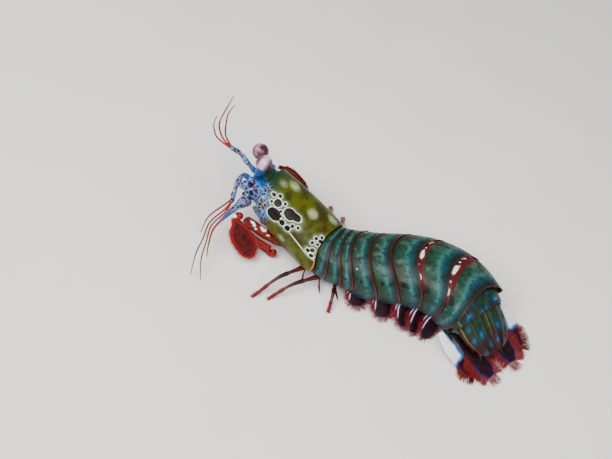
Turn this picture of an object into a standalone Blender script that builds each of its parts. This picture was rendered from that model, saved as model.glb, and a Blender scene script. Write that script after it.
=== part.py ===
"""A peacock mantis shrimp, life size, as a still model in its walking pose.

The animal is drawn in body coordinates: the distance behind the carapace's rear edge, then left
and up from the body's axis.  The axis bends sideways and up and down from somite to somite, and
body_points() carries every shape onto it.  All sizes are in millimetres until a node is made.
+X is the way the head points, +Y the animal's left, +Z up, and the floor is z = 0.
"""
import math

import bmesh
import bpy
import numpy as np
from mathutils import Matrix, Vector

MM = 0.001
GAP = 0.3

# The body's axis
START = np.array((18.84, -5.24, 15.1))
START_YAW = -9.0
START_PITCH = 21.5
CARAPACE_LENGTH = 36.0
CARAPACE_YAW_BEND = -9.0
CARAPACE_PITCH_BEND = 2.0
HEAD_REACH = 90.0
TAIL_REACH = 60.0

# Each somite: name, length, half-widths in front and behind, height of the back, turns in degrees
SOMITES = (
    ("thorax_6", 5.0, 13.0, 13.8, 9.4, 12.0, -6.0),
    ("thorax_7", 5.5, 13.8, 14.6, 9.8, 9.0, -9.0),
    ("thorax_8", 5.5, 14.6, 15.2, 10.2, 6.0, -8.0),
    ("abdomen_1", 10.0, 15.4, 16.1, 10.6, 0.0, -9.5),
    ("abdomen_2", 11.0, 16.1, 16.8, 11.0, 1.5, -8.0),
    ("abdomen_3", 12.0, 16.8, 17.3, 11.2, -7.0, 3.5),
    ("abdomen_4", 12.5, 17.3, 17.6, 11.2, -7.0, 18.0),
    ("abdomen_5", 13.0, 17.6, 16.9, 10.8, -18.0, 18.0),
    ("abdomen_6", 9.0, 15.2, 13.8, 8.6, -9.0, 4.5),
)
BODY_LENGTH = sum(row[1] for row in SOMITES)
MARGIN_SWEEP = 5.0
SWEEP_WIDTH = 15.0
BELLY_DEPTH = 3.8
PLEURA_DEPTH = 8.6
THORAX_PLEURA_DEPTH = 5.0
ACROSS = (0.0, 0.22, 0.44, 0.64, 0.8, 0.92, 1.0)

# Carapace and head
CARAPACE_HALF_REAR = 14.6
CARAPACE_HALF_FRONT = 12.2
CARAPACE_TOP = 9.8
CARAPACE_SIDE_DEPTH = 7.0
SHELL = 1.2
GROOVE_AT = 0.88
GROOVE_DEPTH = 0.45
CORE_DEPTH = 8.0
CORE_SIDE_GAP = 1.6
HEAD_SPLIT = -25.0
HEAD_FRONT = -42.6

# Telson and uropods
TELSON_LENGTH = 18.5
TELSON_HALF_WIDTH = 12.8
TELSON_TOP = 5.6
TELSON_FALL = 4.2
TELSON_RIM_DEPTH = 2.0
TELSON_UNDERSIDE = -2.2
TELSON_KEELS = (0.0, 0.22, 0.64)
TELSON_KEEL_HEIGHT = 0.5
TAIL_SWEEP = 0.25
LAST_PLEURA_DEPTH = 4.6
LAST_SPINE_RADIUS = 0.75
TRIM_SPINE_RADIUS = 0.9

# Limbs
EYE_RADIUS = 3.8
LEG_SIDES = 6
FOOT_RADIUS = 0.65
FOOT_CLEAR = 0.15

# Fringes
BRISTLE_WIDTHS = (0.55, 0.28)
BRISTLE_DEPTHS = (0.25, 0.2)
BRISTLE_SUNK = 1.0
BRISTLE_FLOOR = 0.7

# Carapace, head and eyes
ARCH_END = math.radians(118.0)
ARCH_END_COSINE = -math.cos(ARCH_END)
# Each eye: how far along the head and how far round it the stalk starts, and the eye's middle
EYES = {
    "l": (-41.2, 66.0, (-42.7, 3.5, 16.8)),
    "r": (-41.2, 66.0, (-47.6, -3.8, 11.6)),
}

# Tail
KEELS = ((0.22, 0.5), (0.64, 0.5), (0.92, 0.4))
# The spine that each keel ends in: length, depth sunk and height above the axis
LAST_SPINES = ((1.6, 1.8, 7.2), (1.8, 1.8, 6.2), (1.8, 1.8, 2.4))
# Where each tooth starts, how far it reaches back and aside, and its radius
TELSON_TEETH = (
    (0.55, 1.0, 2.6, 1.6, 0.8),
    (0.8, 0.98, 3.4, 1.8, 0.9),
    (0.92, 0.45, 4.2, 0.2, 1.0),
)
PROTOPOD = ((80.3, 12.4, -6.15), (82.8, 13.3, -6.7), (85.6, 13.2, -6.4))
# The right outer paddle is spread a little wider than the left
EXOPOD = {
    "l": ((82.2, 17.6, -6.2), (87.2, 17.7, -5.8), (94.5, 16.4, -6.0), (101.0, 14.5, -7.0),
          (108.0, 12.0, -5.4)),
    "r": ((82.2, 17.6, -6.2), (87.8, 18.2, -5.8), (95.0, 18.3, -6.0), (102.0, 17.5, -7.0),
          (109.5, 14.0, -4.9)),
}
ENDOPOD = ((86.4, 12.4, -6.1), (90.0, 11.1, -5.5), (96.0, 9.4, -5.1), (103.0, 7.9, -4.6), (111.5, 6.9, -2.7))
# Half-widths and half-depths along each piece of a uropod
UROPOD_SIZES = {
    "protopod": ((1.6, 2.2, 1.8), (1.3, 1.5, 1.2)),
    "exopod": ((1.5, 2.4, 3.4, 3.2, 3.6, 3.6, 1.4), (0.8, 1.0, 0.9, 0.6, 0.5, 0.45, 0.45)),
    "endopod": ((1.1, 2.0, 3.1, 3.7, 4.1, 4.2, 1.6), (0.7, 0.6, 0.55, 0.5, 0.45, 0.45, 0.45)),
}
PROTOPOD_SPINES = (((84.0, 13.6, -7.2), (93.0, 13.0, -8.2)), ((84.0, 12.4, -7.3), (89.0, 10.9, -8.3)))

# Antennules and antennae, as paths in body coordinates
ANTENNULES = {
    "l": ((HEAD_FRONT - GAP, 2.5, -1.2), (-46.2, 3.4, -0.9), (-46.4, 6.8, -1.6), (-43.8, 13.0, -4.0),
          (-41.5, 15.9, -5.9)),
    "r": ((HEAD_FRONT - GAP, -2.4, -1.0), (-49.0, -3.0, -0.6), (-54.3, -4.3, -0.9), (-60.4, -4.5, -2.9)),
}
FEELERS = {
    "l": (((-42.3, 15.0, -5.1), (-42.1, 19.6, -8.0), (-43.2, 27.8, -11.7), (-40.6, 34.1, -15.8),
           (-38.4, 40.7, -18.8), (-33.1, 48.8, -22.9)),
          ((-42.3, 14.8, -5.6), (-41.1, 20.0, -8.9), (-41.7, 27.8, -12.9), (-38.5, 33.7, -17.1),
           (-34.6, 40.4, -20.3), (-26.9, 47.1, -22.9)),
          ((-42.7, 14.8, -4.8), (-43.8, 19.4, -7.0), (-45.3, 27.2, -10.4), (-43.2, 33.5, -14.4))),
    "r": (((-59.1, -4.4, -2.5), (-63.8, -5.6, -3.6), (-67.2, -6.9, -3.5), (-70.6, -8.2, -0.7),
           (-72.0, -10.4, 2.2), (-73.2, -14.7, 6.0), (-74.3, -18.6, 9.6)),
          ((-59.1, -4.6, -2.2), (-63.8, -6.7, -2.6), (-66.5, -8.5, -1.8), (-69.0, -10.6, 1.6),
           (-70.7, -12.5, 4.7), (-71.1, -16.3, 8.3)),
          ((-59.1, -4.2, -2.8), (-64.2, -4.8, -4.5), (-68.6, -5.4, -4.9), (-72.6, -7.3, -2.2),
           (-74.1, -10.0, 0.8))),
}
ANTENNULE_RADII = (1.35, 1.25, 1.15, 1.1, 1.1, 0.85)
FEELER_RADII = (0.5, 0.42, 0.34, 0.25)
FEELER_ACROSS = (0.0, 0.3, 1.0)
ANTENNA_ROOT = (-36.6, -36.0)
ANTENNA_RADII = (2.8, 2.5, 1.4, 0.8, 0.55, 0.45, 0.38, 0.26)
ANTENNAE = {
    "l": ((-38.0, 11.6, -5.2), (-39.0, 16.1, -6.7), (-39.6, 19.8, -10.0), (-40.0, 27.2, -14.8),
          (-36.8, 33.0, -19.1), (-33.1, 37.2, -21.5)),
    "r": ((-38.0, -11.3, -5.2), (-39.0, -15.4, -6.7), (-40.0, -18.0, -11.0), (-37.5, -22.6, -17.2),
          (-31.1, -24.7, -20.9)),
}
# Each antennal scale: its path, and how far forward, aside and up its width runs
SCALES = {
    "l": (((-37.5, 18.4, -7.7), (-35.1, 20.2, -8.8), (-29.2, 21.7, -11.3), (-22.3, 22.2, -14.2),
           (-15.7, 23.0, -16.8)), (0.44, 0.88, -0.3)),
    "r": (((-37.6, -17.2, -7.6), (-35.9, -18.1, -6.4), (-31.6, -18.0, -5.0), (-26.9, -17.4, -4.0),
           (-20.6, -17.0, -3.4)), (0.1, 0.15, 0.97)),
}
SCALE_SIZES = ((0.9, 1.9, 4.4, 5.2, 5.1, 4.4, 1.2), (0.7, 0.6, 0.55, 0.5, 0.45, 0.45, 0.45))

# Great claws and feeding limbs, for the left side
CLAW_ROOT = (-7.5, -42.0)
MERUS = ((-9.0, 9.4, -9.4), (-12.5, 10.5, -11.3), (-18.0, 11.8, -11.9), (-26.0, 13.6, -11.3),
         (-32.2, 14.6, -10.1))
CARPUS = ((-33.4, 14.8, -10.4), (-35.4, 15.0, -11.6), (-36.2, 15.2, -13.4))
PROPODUS = ((-36.4, 15.2, -15.6), (-28.5, 15.8, -16.2), (-20.0, 15.8, -16.0), (-12.0, 13.8, -14.6))
# Half-widths and half-depths along each piece of a claw
CLAW_SIZES = {
    "merus": ((1.5, 1.7, 2.3, 3.2, 3.4, 2.7), (1.5, 1.5, 1.6, 1.9, 1.9, 1.5)),
    "carpus": ((1.4, 1.6, 1.6, 1.3), (1.6, 1.8, 1.8, 1.4)),
    "propodus": ((1.7, 2.5, 2.6, 2.2, 1.5), (1.4, 1.7, 1.6, 1.5, 1.2)),
    "dactyl": ((1.2, 1.7, 1.7, 1.2, 0.9, 0.65, 0.3), (1.2, 1.6, 1.6, 1.2, 0.85, 0.65, 0.3)),
}
# The dactyl folds back under the propodus round a half circle, with its swollen heel in the bend
DACTYL_PIVOT = (-11.3, 13.5, -16.6)
DACTYL_BEND = 1.9
DACTYL_END = ((-16.0, 14.4, -19.0), (-22.0, 15.4, -20.0))
MAXILLIPED_TURN = -63.0
MAXILLIPED_SPACING = 4.8
MAXILLIPED_SIZES = ((0.6, 0.6, 0.55, 0.6, 0.7, 0.3), (0.75, 0.7, 0.65, 0.65, 0.95, 0.4))

# Walking legs and swimmerets
# Where each foot stands, forward of and out from the limb's own somite
FEET = {
    "l": ((14.5, 35.6), (18.4, 29.8), (-0.8, 23.6)),
    "r": ((12.9, 31.9), (4.3, 30.7), (-7.4, 27.5)),
}
LEG_ROOT = 7.0
LEG_RADII = (1.5, 1.35, 1.0, 0.95, 0.9, 0.8, 0.75, FOOT_RADIUS)
BRANCH_SIZES = ((0.45, 0.42, 0.5, 0.3), (0.4, 0.35, 0.4, 0.25))
PLEOPOD_ROOT = 8.3
PLEOPOD_REACH = (8.5, 10.5, 11.5, 12.0, 11.0)
PLEOPOD_LEAN = (1.0, 1.0, 1.0, 0.2, 4.0)
PLEOPOD_FLOOR = 1.8
PETAL_WIDTHS = np.array((1.2, 2.8, 3.9, 4.0, 1.3))
PETAL_DEPTHS = np.array((0.7, 0.6, 0.5, 0.45, 0.45))

OLIVE = (0.13, 0.16, 0.03)
TEAL = (0.04, 0.13, 0.12)
DARK_GREEN = (0.03, 0.07, 0.05)
BLUE = (0.05, 0.25, 0.55)
PINK = (0.5, 0.35, 0.42)
RED = (0.35, 0.02, 0.015)
MAROON = (0.1, 0.008, 0.015)
ORANGE = (0.55, 0.12, 0.02)
IVORY = (0.6, 0.6, 0.55)


def clear_scene():
    """Remove whatever objects the file holds"""
    for thing in list(bpy.data.objects):
        bpy.data.objects.remove(thing, do_unlink=True)


def bend_knots():
    """Distances along the axis, with the yaw and pitch in degrees reached at each"""
    at = [-HEAD_REACH, -CARAPACE_LENGTH, 0.0]
    yaw = [START_YAW - CARAPACE_YAW_BEND, START_YAW - CARAPACE_YAW_BEND, START_YAW]
    pitch = [START_PITCH - CARAPACE_PITCH_BEND, START_PITCH - CARAPACE_PITCH_BEND, START_PITCH]
    for row in SOMITES:
        at.append(at[-1] + row[1])
        yaw.append(yaw[-1] + row[5])
        pitch.append(pitch[-1] + row[6])
    at.append(at[-1] + TAIL_REACH)
    yaw.append(yaw[-1])
    pitch.append(pitch[-1])
    return np.array(at), np.array(yaw), np.array(pitch)


def directions(along):
    """Forward, left and up unit vectors at distances along the axis"""
    at, yaw, pitch = bend_knots()
    turn = np.radians(np.interp(along, at, yaw))
    rise = np.radians(np.interp(along, at, pitch))
    forward = np.stack((np.cos(rise) * np.cos(turn), np.cos(rise) * np.sin(turn), np.sin(rise)), -1)
    left = np.stack((-np.sin(turn), np.cos(turn), 0.0 * turn), -1)
    return forward, left, np.cross(forward, left)


def trace_axis():
    """Points of the axis every half millimetre, from the head's end to the tail's"""
    along = np.arange(-HEAD_REACH, BODY_LENGTH + TAIL_REACH, 0.5)
    forward = directions(along)[0]
    steps = -0.5 * (forward[1:] + forward[:-1]) * np.diff(along)[:, None]
    points = np.vstack((np.zeros(3), np.cumsum(steps, axis=0)))
    zero = int(np.argmin(np.abs(along)))
    return along, points - points[zero] + START


AXIS_ALONG, AXIS_POINTS = trace_axis()


def body_points(along, left, up):
    """World points of body coordinates, which may be arrays"""
    along, left, up = np.broadcast_arrays(*(np.asarray(v, float) for v in (along, left, up)))
    _, side, top = directions(along)
    base = np.stack([np.interp(along, AXIS_ALONG, AXIS_POINTS[:, k]) for k in range(3)], -1)
    return base + side * left[..., None] + top * up[..., None]


def frame_at(along, left=0.0, up=0.0):
    """A node's placing: the world matrix at a body point, turned with the body"""
    forward, side, top = directions(np.array(along))
    place = body_points(along, left, up)
    matrix = Matrix.Identity(4)
    for k in range(3):
        matrix[k][0] = forward[k]
        matrix[k][1] = side[k]
        matrix[k][2] = top[k]
        matrix[k][3] = place[k] * MM
    return matrix


def material(name, colour, roughness=0.35):
    """A plain Principled material"""
    made = bpy.data.materials.new(name)
    made.use_nodes = True
    shader = made.node_tree.nodes["Principled BSDF"]
    shader.inputs["Base Color"].default_value = (*colour, 1.0)
    shader.inputs["Roughness"].default_value = roughness
    return made


def make_node(name, vertices, faces, colour, placing):
    """One named object, its mesh kept in its own turned frame"""
    inverse = placing.inverted()
    mesh = bpy.data.meshes.new(name)
    mesh.from_pydata([inverse @ Vector(point * MM) for point in np.asarray(vertices)], [], faces)
    mesh.validate()
    mesh.materials.append(material(name, colour))
    mesh.shade_smooth()
    mesh.set_sharp_from_angle(angle=math.radians(40))
    node = bpy.data.objects.new(name, mesh)
    node.matrix_world = placing
    bpy.context.scene.collection.objects.link(node)
    return node


def loft(rings):
    """A closed body through rings of one even count of points, split alike on both faces.

    Ring point k lies across from point count-1-k, so each end is closed by a strip.
    """
    rings = np.asarray(rings, float)
    rows, count = rings.shape[:2]
    half = count // 2
    faces = []
    for i in range(rows - 1):
        for k in range(count):
            a = i * count + k
            b = i * count + (k + 1) % count
            c = a + count
            d = b + count
            if k < half:
                faces += [(a, b, d), (a, d, c)]
            else:
                faces += [(a, b, c), (b, d, c)]
    last = (rows - 1) * count
    for k in range(half - 1):
        a, b, c, d = k, k + 1, count - 2 - k, count - 1 - k
        faces += [(a, c, b), (a, d, c)]
        faces += [(last + a, last + b, last + c), (last + a, last + c, last + d)]
    return rings.reshape(-1, 3), outward(rings.reshape(-1, 3), faces)


def outward(vertices, faces):
    """The faces, all turned over if together they enclose a negative volume"""
    corners = vertices[np.array(faces)]
    volume = np.einsum("ij,ij->i", corners[:, 0], np.cross(corners[:, 1], corners[:, 2])).sum()
    return faces if volume > 0 else [face[::-1] for face in faces]


def oval_section(sides):
    """Unit oval whose points face each other across the flat"""
    angles = (np.arange(sides) + 0.5) * 2.0 * math.pi / sides
    return np.stack((np.cos(angles), np.sin(angles)), -1)


def blade_section():
    """Unit section of a leaf or paddle: thickest in the middle, with a blunt edge"""
    upper = ((1.0, 0.6), (0.6, 0.9), (0.0, 1.0), (-0.6, 0.9), (-1.0, 0.6))
    lower = tuple((across, -high) for across, high in upper[::-1])
    return np.array(upper + lower)


def petal_section():
    """Unit section of a small leaf, of six points"""
    return np.array(((1.0, 0.6), (0.0, 1.0), (-1.0, 0.6), (-1.0, -0.6), (0.0, -1.0), (1.0, -0.6)))


def smooth_path(points, count):
    """Count points along a smooth curve through the given ones, evenly spaced"""
    points = np.asarray(points, float)
    padded = np.vstack((2 * points[0] - points[1], points, 2 * points[-1] - points[-2]))
    dense = []
    for k in range(len(points) - 1):
        p0, p1, p2, p3 = padded[k:k + 4]
        for t in np.linspace(0.0, 1.0, 12, endpoint=False):
            bend = 2 * p1 + (p2 - p0) * t + (2 * p0 - 5 * p1 + 4 * p2 - p3) * t ** 2
            dense.append(0.5 * (bend + (3 * p1 - p0 - 3 * p2 + p3) * t ** 3))
    dense.append(points[-1])
    dense = np.array(dense)
    walked = np.concatenate(((0.0,), np.cumsum(np.linalg.norm(np.diff(dense, axis=0), axis=1))))
    even = np.linspace(0.0, walked[-1], count)
    return np.stack([np.interp(even, walked, dense[:, k]) for k in range(3)], -1)


def limb_rings(points, widths, depths, across, section, count, way=None):
    """Rings along a smooth path: widths go along the across direction, depths square to it.

    The first ring is square to the way given, so that it faces what the limb grows from.
    """
    path = smooth_path(points, count)
    tangent = np.gradient(path, axis=0)
    if way is not None:
        tangent[0] = way
    tangent /= np.linalg.norm(tangent, axis=1)[:, None]
    side = np.asarray(across, float) - tangent * (tangent @ np.asarray(across, float))[:, None]
    side /= np.linalg.norm(side, axis=1)[:, None]
    normal = np.cross(tangent, side)
    share = np.linspace(0.0, 1.0, count)
    wide = np.interp(share, np.linspace(0.0, 1.0, len(widths)), widths)
    deep = np.interp(share, np.linspace(0.0, 1.0, len(depths)), depths)
    wide_part = wide[:, None, None] * section[None, :, 0, None] * side[:, None, :]
    deep_part = deep[:, None, None] * section[None, :, 1, None] * normal[:, None, :]
    return path[:, None, :] + wide_part + deep_part


def limb(points, widths, depths, across, section, count, way=None):
    """A closed limb, leaf or feeler along a smooth path of world points"""
    return loft(limb_rings(points, widths, depths, across, section, count, way))


def spine(base, tip, radius):
    """A closed cone with a blunt tip, its foot meant to be sunk in a solid"""
    way = (tip - base) / np.linalg.norm(tip - base)
    return limb((base, 0.5 * (base + tip), tip), (radius, 0.2 * radius), (radius, 0.2 * radius),
                steepest_across(way), oval_section(6), 2)


def steepest_across(way):
    """The world axis that lies most nearly square to a direction"""
    axis = np.zeros(3)
    axis[int(np.argmin(np.abs(way)))] = 1.0
    return axis


def bristle(base, tip, across):
    """One flat tapered blade of a fringe"""
    section = np.array(((1.0, 1.0), (-1.0, 1.0), (-1.0, -1.0), (1.0, -1.0)))
    return limb((base, 0.5 * (base + tip), tip), BRISTLE_WIDTHS, BRISTLE_DEPTHS, across, section, 2)


def paddle_outline(rings, first, last):
    """The edge of a paddle from one ring round the tip and back to another, and its centre line"""
    half = rings.shape[1] // 2
    one = 0.5 * (rings[:, 0] + rings[:, -1])
    other = 0.5 * (rings[:, half - 1] + rings[:, half])
    return np.vstack((one[first:], other[last:][::-1])), rings.mean(axis=1)


def fringe(rings, first, last, count, length, seed):
    """Blades standing out from a paddle's edge, evenly spaced, each sunk well into it"""
    rng = np.random.default_rng(seed)
    outline, centre = paddle_outline(rings, first, last)
    edge = smooth_path(outline, count + 2)
    travel = np.gradient(edge, axis=0)
    blades = []
    for k in range(1, count + 1):
        heart = centre[int(np.argmin(np.linalg.norm(centre - edge[k], axis=1)))]
        out = edge[k] - heart
        out -= travel[k] * (out @ travel[k]) / (travel[k] @ travel[k])
        out = out / np.linalg.norm(out)
        base = edge[k] - out * BRISTLE_SUNK
        tip = edge[k] + out * length * rng.uniform(0.85, 1.1)
        base[2] = max(base[2], BRISTLE_FLOOR)
        tip[2] = max(tip[2], BRISTLE_FLOOR)
        blades.append(bristle(base, tip, travel[k]))
    return blades


def fuse(node, pieces):
    """Join closed pieces, given in world millimetres, to a node by one Boolean union"""
    group = bpy.data.collections.new(node.name + "_pieces")
    bpy.context.scene.collection.children.link(group)
    for vertices, faces in pieces:
        mesh = bpy.data.meshes.new("piece")
        mesh.from_pydata([Vector(point * MM) for point in vertices], [], faces)
        thing = bpy.data.objects.new("piece", mesh)
        group.objects.link(thing)
    union = node.modifiers.new("union", "BOOLEAN")
    union.operation = "UNION"
    union.operand_type = "COLLECTION"
    union.collection = group
    union.solver = "EXACT"
    bpy.context.view_layer.update()
    with bpy.context.temp_override(object=node, active_object=node, selected_objects=[node]):
        bpy.ops.object.modifier_apply(modifier=union.name)
    for thing in list(group.objects):
        bpy.data.objects.remove(thing, do_unlink=True)
    bpy.data.collections.remove(group)
    keep_largest(node)


def keep_largest(node):
    """Keep the largest closed surface of a node's mesh, in triangles"""
    bm = bmesh.new()
    bm.from_mesh(node.data)
    bmesh.ops.dissolve_degenerate(bm, dist=1.0e-7, edges=bm.edges)
    bmesh.ops.triangulate(bm, faces=bm.faces)
    left = set(bm.faces)
    parts = []
    while left:
        found = [left.pop()]
        for face in found:
            for edge in face.edges:
                for near in edge.link_faces:
                    if near in left:
                        left.remove(near)
                        found.append(near)
        parts.append(found)
    parts.sort(key=len)
    spare = [face for part in parts[:-1] for face in part]
    bmesh.ops.delete(bm, geom=spare, context="FACES")
    bm.to_mesh(node.data)
    bm.free()
    node.data.shade_smooth()
    node.data.set_sharp_from_angle(angle=math.radians(40))


def somite_section(half, back, pleura, keels=()):
    """Left and up values round a somite: over the back from left to right, then under it"""
    share = np.array(ACROSS[::-1] + tuple(-f for f in ACROSS[1:]))
    size = np.abs(share)
    over = 0.5 + (back - 0.5) * (1.0 - size ** 2.35) ** 0.475
    for place, height in keels:
        over = over + height * np.clip(1.0 - np.abs(size - place) / 0.1, 0.0, 1.0)
    places = (0.0, 0.66, 0.73, 0.84, 0.93, 1.0)
    depths = (BELLY_DEPTH, BELLY_DEPTH, BELLY_DEPTH + 0.4, 0.93 * pleura, pleura, 0.5 * pleura)
    under = -np.interp(size, places, depths)
    across = np.concatenate((share, share[::-1])) * half
    return across, np.concatenate((over, under[::-1]))


def swept(along, across):
    """Distance along the axis of a margin that sweeps back toward the sides"""
    return along + MARGIN_SWEEP * (np.abs(across) / SWEEP_WIDTH) ** 2


def make_somite(row, start):
    """One somite: back plate, side plates and belly in a single solid"""
    name, length, front, rear, back = row[:5]
    pleura = THORAX_PLEURA_DEPTH if name.startswith("thorax") else PLEURA_DEPTH
    rings = []
    for share in (0.0, 0.15, 0.5, 0.85, 1.0):
        along = start + 0.5 * GAP + share * (length - GAP)
        half = (front + (rear - front) * share) * (0.965 if share == 0.0 else 1.0)
        rounding = 1.0 - 0.22 * abs(2.0 * share - 1.0) ** 3
        high = back * (0.95 if share == 0.0 else 1.0)
        across, up = somite_section(half, high, pleura * rounding)
        rings.append(body_points(swept(along, across), across, up))
    make_node(name, *loft(rings), TEAL, frame_at(start + 0.5 * length))


def make_somites():
    """The free thoracic somites and the first five of the abdomen"""
    start = 0.0
    for row in SOMITES[:-1]:
        make_somite(row, start)
        start += row[1]
    make_last_somite(SOMITES[-1], start)


def make_last_somite(row, start):
    """The sixth somite of the abdomen, with its six keels"""
    name, length, front, rear, back = row[:5]
    rings = []
    for share in (0.0, 0.2, 0.6, 1.0):
        along = start + 0.5 * GAP + share * (length - GAP)
        half = front + (rear - front) * share
        high = back * (1.0 - 0.2 * share)
        keels = tuple((place, height * share) for place, height in KEELS)
        across, up = somite_section(half, high, LAST_PLEURA_DEPTH, keels)
        sweep = 1.0 - (1.0 - TAIL_SWEEP) * share
        rings.append(body_points(along + sweep * (swept(0.0, across)), across, up))
    node = make_node(name, *loft(rings), DARK_GREEN, frame_at(start + 0.5 * length))
    end = start + length
    spines = []
    for sign in (1.0, -1.0):
        for place, (reach, sunk, high) in zip(KEELS, LAST_SPINES):
            left = sign * place[0] * rear * 0.97
            sweep = TAIL_SWEEP * swept(0.0, left)
            base = body_points(end + sweep - sunk, left, high)
            tip = body_points(end + sweep + reach, left, high + 0.5)
            spines.append(spine(base, tip, LAST_SPINE_RADIUS))
    fuse(node, spines)


def carapace_half(along):
    """Half-width of the carapace, narrower in front"""
    share = np.clip(-along / CARAPACE_LENGTH, 0.0, 1.0)
    return CARAPACE_HALF_REAR + (CARAPACE_HALF_FRONT - CARAPACE_HALF_REAR) * share ** 1.3


def arch(half, top, depth, angles):
    """Left and up values of an arch that runs on below its widest line"""
    across = half * np.sign(np.sin(angles)) * np.abs(np.sin(angles)) ** 0.85
    cosine = np.cos(angles)
    up = np.where(cosine > 0, top * np.abs(cosine) ** 0.95, -depth * np.abs(cosine) / ARCH_END_COSINE)
    return across, up


def make_carapace():
    """The carapace, a thin shell with a groove down each side and rounded side lobes"""
    angles = np.linspace(-ARCH_END, ARCH_END, 23)
    rings = []
    for share in np.linspace(0.0, 1.0, 9):
        along = -2.0 * GAP - share * (CARAPACE_LENGTH - 2.0 * GAP)
        half = carapace_half(along)
        top = CARAPACE_TOP - 0.8 * share
        rounding = 1.0 - 0.35 * abs(2.0 * share - 1.0) ** 5
        across, up = arch(half, top, CARAPACE_SIDE_DEPTH * rounding, angles)
        dip = GROOVE_DEPTH * np.exp(-((np.abs(across) / half - GROOVE_AT) / 0.05) ** 2) * (up > 0)
        inner_across, inner_up = arch(half - SHELL, top - SHELL, CARAPACE_SIDE_DEPTH * rounding, angles)
        sweep = MARGIN_SWEEP * (np.abs(across) / SWEEP_WIDTH) ** 2 * (1.0 - share)
        front_bow = 3.0 * (np.abs(across) / half) ** 2 * share ** 4
        along_ring = along + sweep + front_bow
        outer = body_points(along_ring, across, up - dip)
        inner = body_points(along_ring, inner_across, inner_up)
        rings.append(np.vstack((outer, inner[::-1])))
    make_node("carapace", *loft(rings), OLIVE, frame_at(-0.5 * CARAPACE_LENGTH))


def core_section(along, cosine, sine):
    """World points round the flesh under the carapace, for the cosines and sines given"""
    share = min(1.0, -along / CARAPACE_LENGTH)
    beyond = max(0.0, (-CARAPACE_LENGTH - along) / (-CARAPACE_LENGTH - HEAD_FRONT))
    half = (carapace_half(along) - SHELL - CORE_SIDE_GAP) * (1.0 - 0.5 * beyond ** 1.5)
    top = (CARAPACE_TOP - 0.8 * share - SHELL - GAP) * (1.0 - 0.3 * min(1.0, 3.0 * beyond) - 0.15 * beyond)
    deep = CORE_DEPTH - 2.5 * beyond
    across = half * np.sign(cosine) * np.abs(cosine) ** 0.85
    up = np.where(sine > 0, top, deep) * np.sign(sine) * np.abs(sine) ** 0.9
    sweep = MARGIN_SWEEP * (np.abs(across) / SWEEP_WIDTH) ** 2 * (1.0 - share)
    return body_points(along + sweep, across, up)


def core_rings(start, end, steps):
    """Rings of the flesh under the carapace, from start to end"""
    section = oval_section(20)
    return [core_section(along, section[:, 0], section[:, 1]) for along in np.linspace(start, end, steps)]


def core_root(along, angle, sign):
    """A point the gap clear of that flesh, and the way straight out; angle in degrees above the side"""
    turns = np.radians(angle + np.array((-2.0, 0.0, 2.0)))
    ring = core_section(along, sign * np.cos(turns), np.sin(turns))
    ahead = core_section(along - 0.5, sign * np.cos(turns), np.sin(turns))
    way = np.cross(ring[2] - ring[0], ahead[1] - ring[1]) * sign
    way /= np.linalg.norm(way)
    return ring[1] + way * GAP, way


def belly_root(along, left):
    """A point the gap below a somite's belly, and the way down"""
    down = -directions(np.array(along))[2]
    return body_points(along, left, -BELLY_DEPTH - GAP), down


def make_core():
    """The body under the carapace, parted into the head and the front of the thorax"""
    rear = core_rings(-0.8 * GAP, HEAD_SPLIT + 0.5 * GAP, 6)
    make_node("thorax_front", *loft(rear), MAROON, frame_at(0.5 * HEAD_SPLIT))
    front = core_rings(HEAD_SPLIT - 0.5 * GAP, HEAD_FRONT, 7)
    make_node("head", *loft(front), BLUE, frame_at(-CARAPACE_LENGTH))


def make_rostrum():
    """The rostral plate, a blunt triangle in front of the carapace"""
    points = body_points((-36.4, -38.0, -40.0), 0.0, (8.6, 8.5, 8.2))
    left = directions(np.array(-38.0))[1]
    rings = limb(points, (4.2, 3.6, 0.5), (0.45, 0.45, 0.3), left, blade_section(), 5)
    make_node("rostrum", *rings, OLIVE, frame_at(-36.4, 0.0, 8.6))


def make_eye(side):
    """A stalk and the round eye at its end"""
    along, turn, place = EYES[side]
    base, out = core_root(along, turn, mirror(side))
    middle = body_points(*place)
    reach = middle - base
    length = float(np.linalg.norm(reach))
    way = reach / length
    end = middle - way * (EYE_RADIUS + GAP)
    left = directions(np.array(-42.0))[1]
    neck = base + out * 1.2
    stalk = limb((base, neck, 0.5 * (neck + end), end), (1.5, 1.6, 2.1, 1.9), (1.4, 1.5, 2.0, 1.8), left,
                 oval_section(10), 8, out)
    make_node("eye_stalk_" + side, *stalk, BLUE, frame_at(*place))
    bm = bmesh.new()
    bmesh.ops.create_icosphere(bm, subdivisions=3, radius=EYE_RADIUS)
    vertices = np.array([tuple(v.co) for v in bm.verts]) + middle
    faces = [tuple(v.index for v in face.verts) for face in bm.faces]
    bm.free()
    make_node("eye_" + side, vertices, faces, PINK, frame_at(*place))


def make_antennule(side):
    """An antennule: jointed stalk, then three long feelers"""
    path = [body_points(*point) for point in ANTENNULES[side]]
    ahead = directions(np.array(HEAD_FRONT))[0]
    solid = limb(path, ANTENNULE_RADII, ANTENNULE_RADII, FEELER_ACROSS, oval_section(6), 9, ahead)
    node = make_node("antennule_" + side, *solid, RED, frame_at(*ANTENNULES[side][0]))
    strands = []
    for feeler in FEELERS[side]:
        strand = [body_points(*point) for point in feeler]
        strands.append(limb(strand, FEELER_RADII, FEELER_RADII, FEELER_ACROSS, oval_section(4), 8))
    fuse(node, strands)


def mirror(side):
    """The sign of a left value: 1 for the left side and -1 for the right"""
    return 1.0 if side == "l" else -1.0


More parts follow.
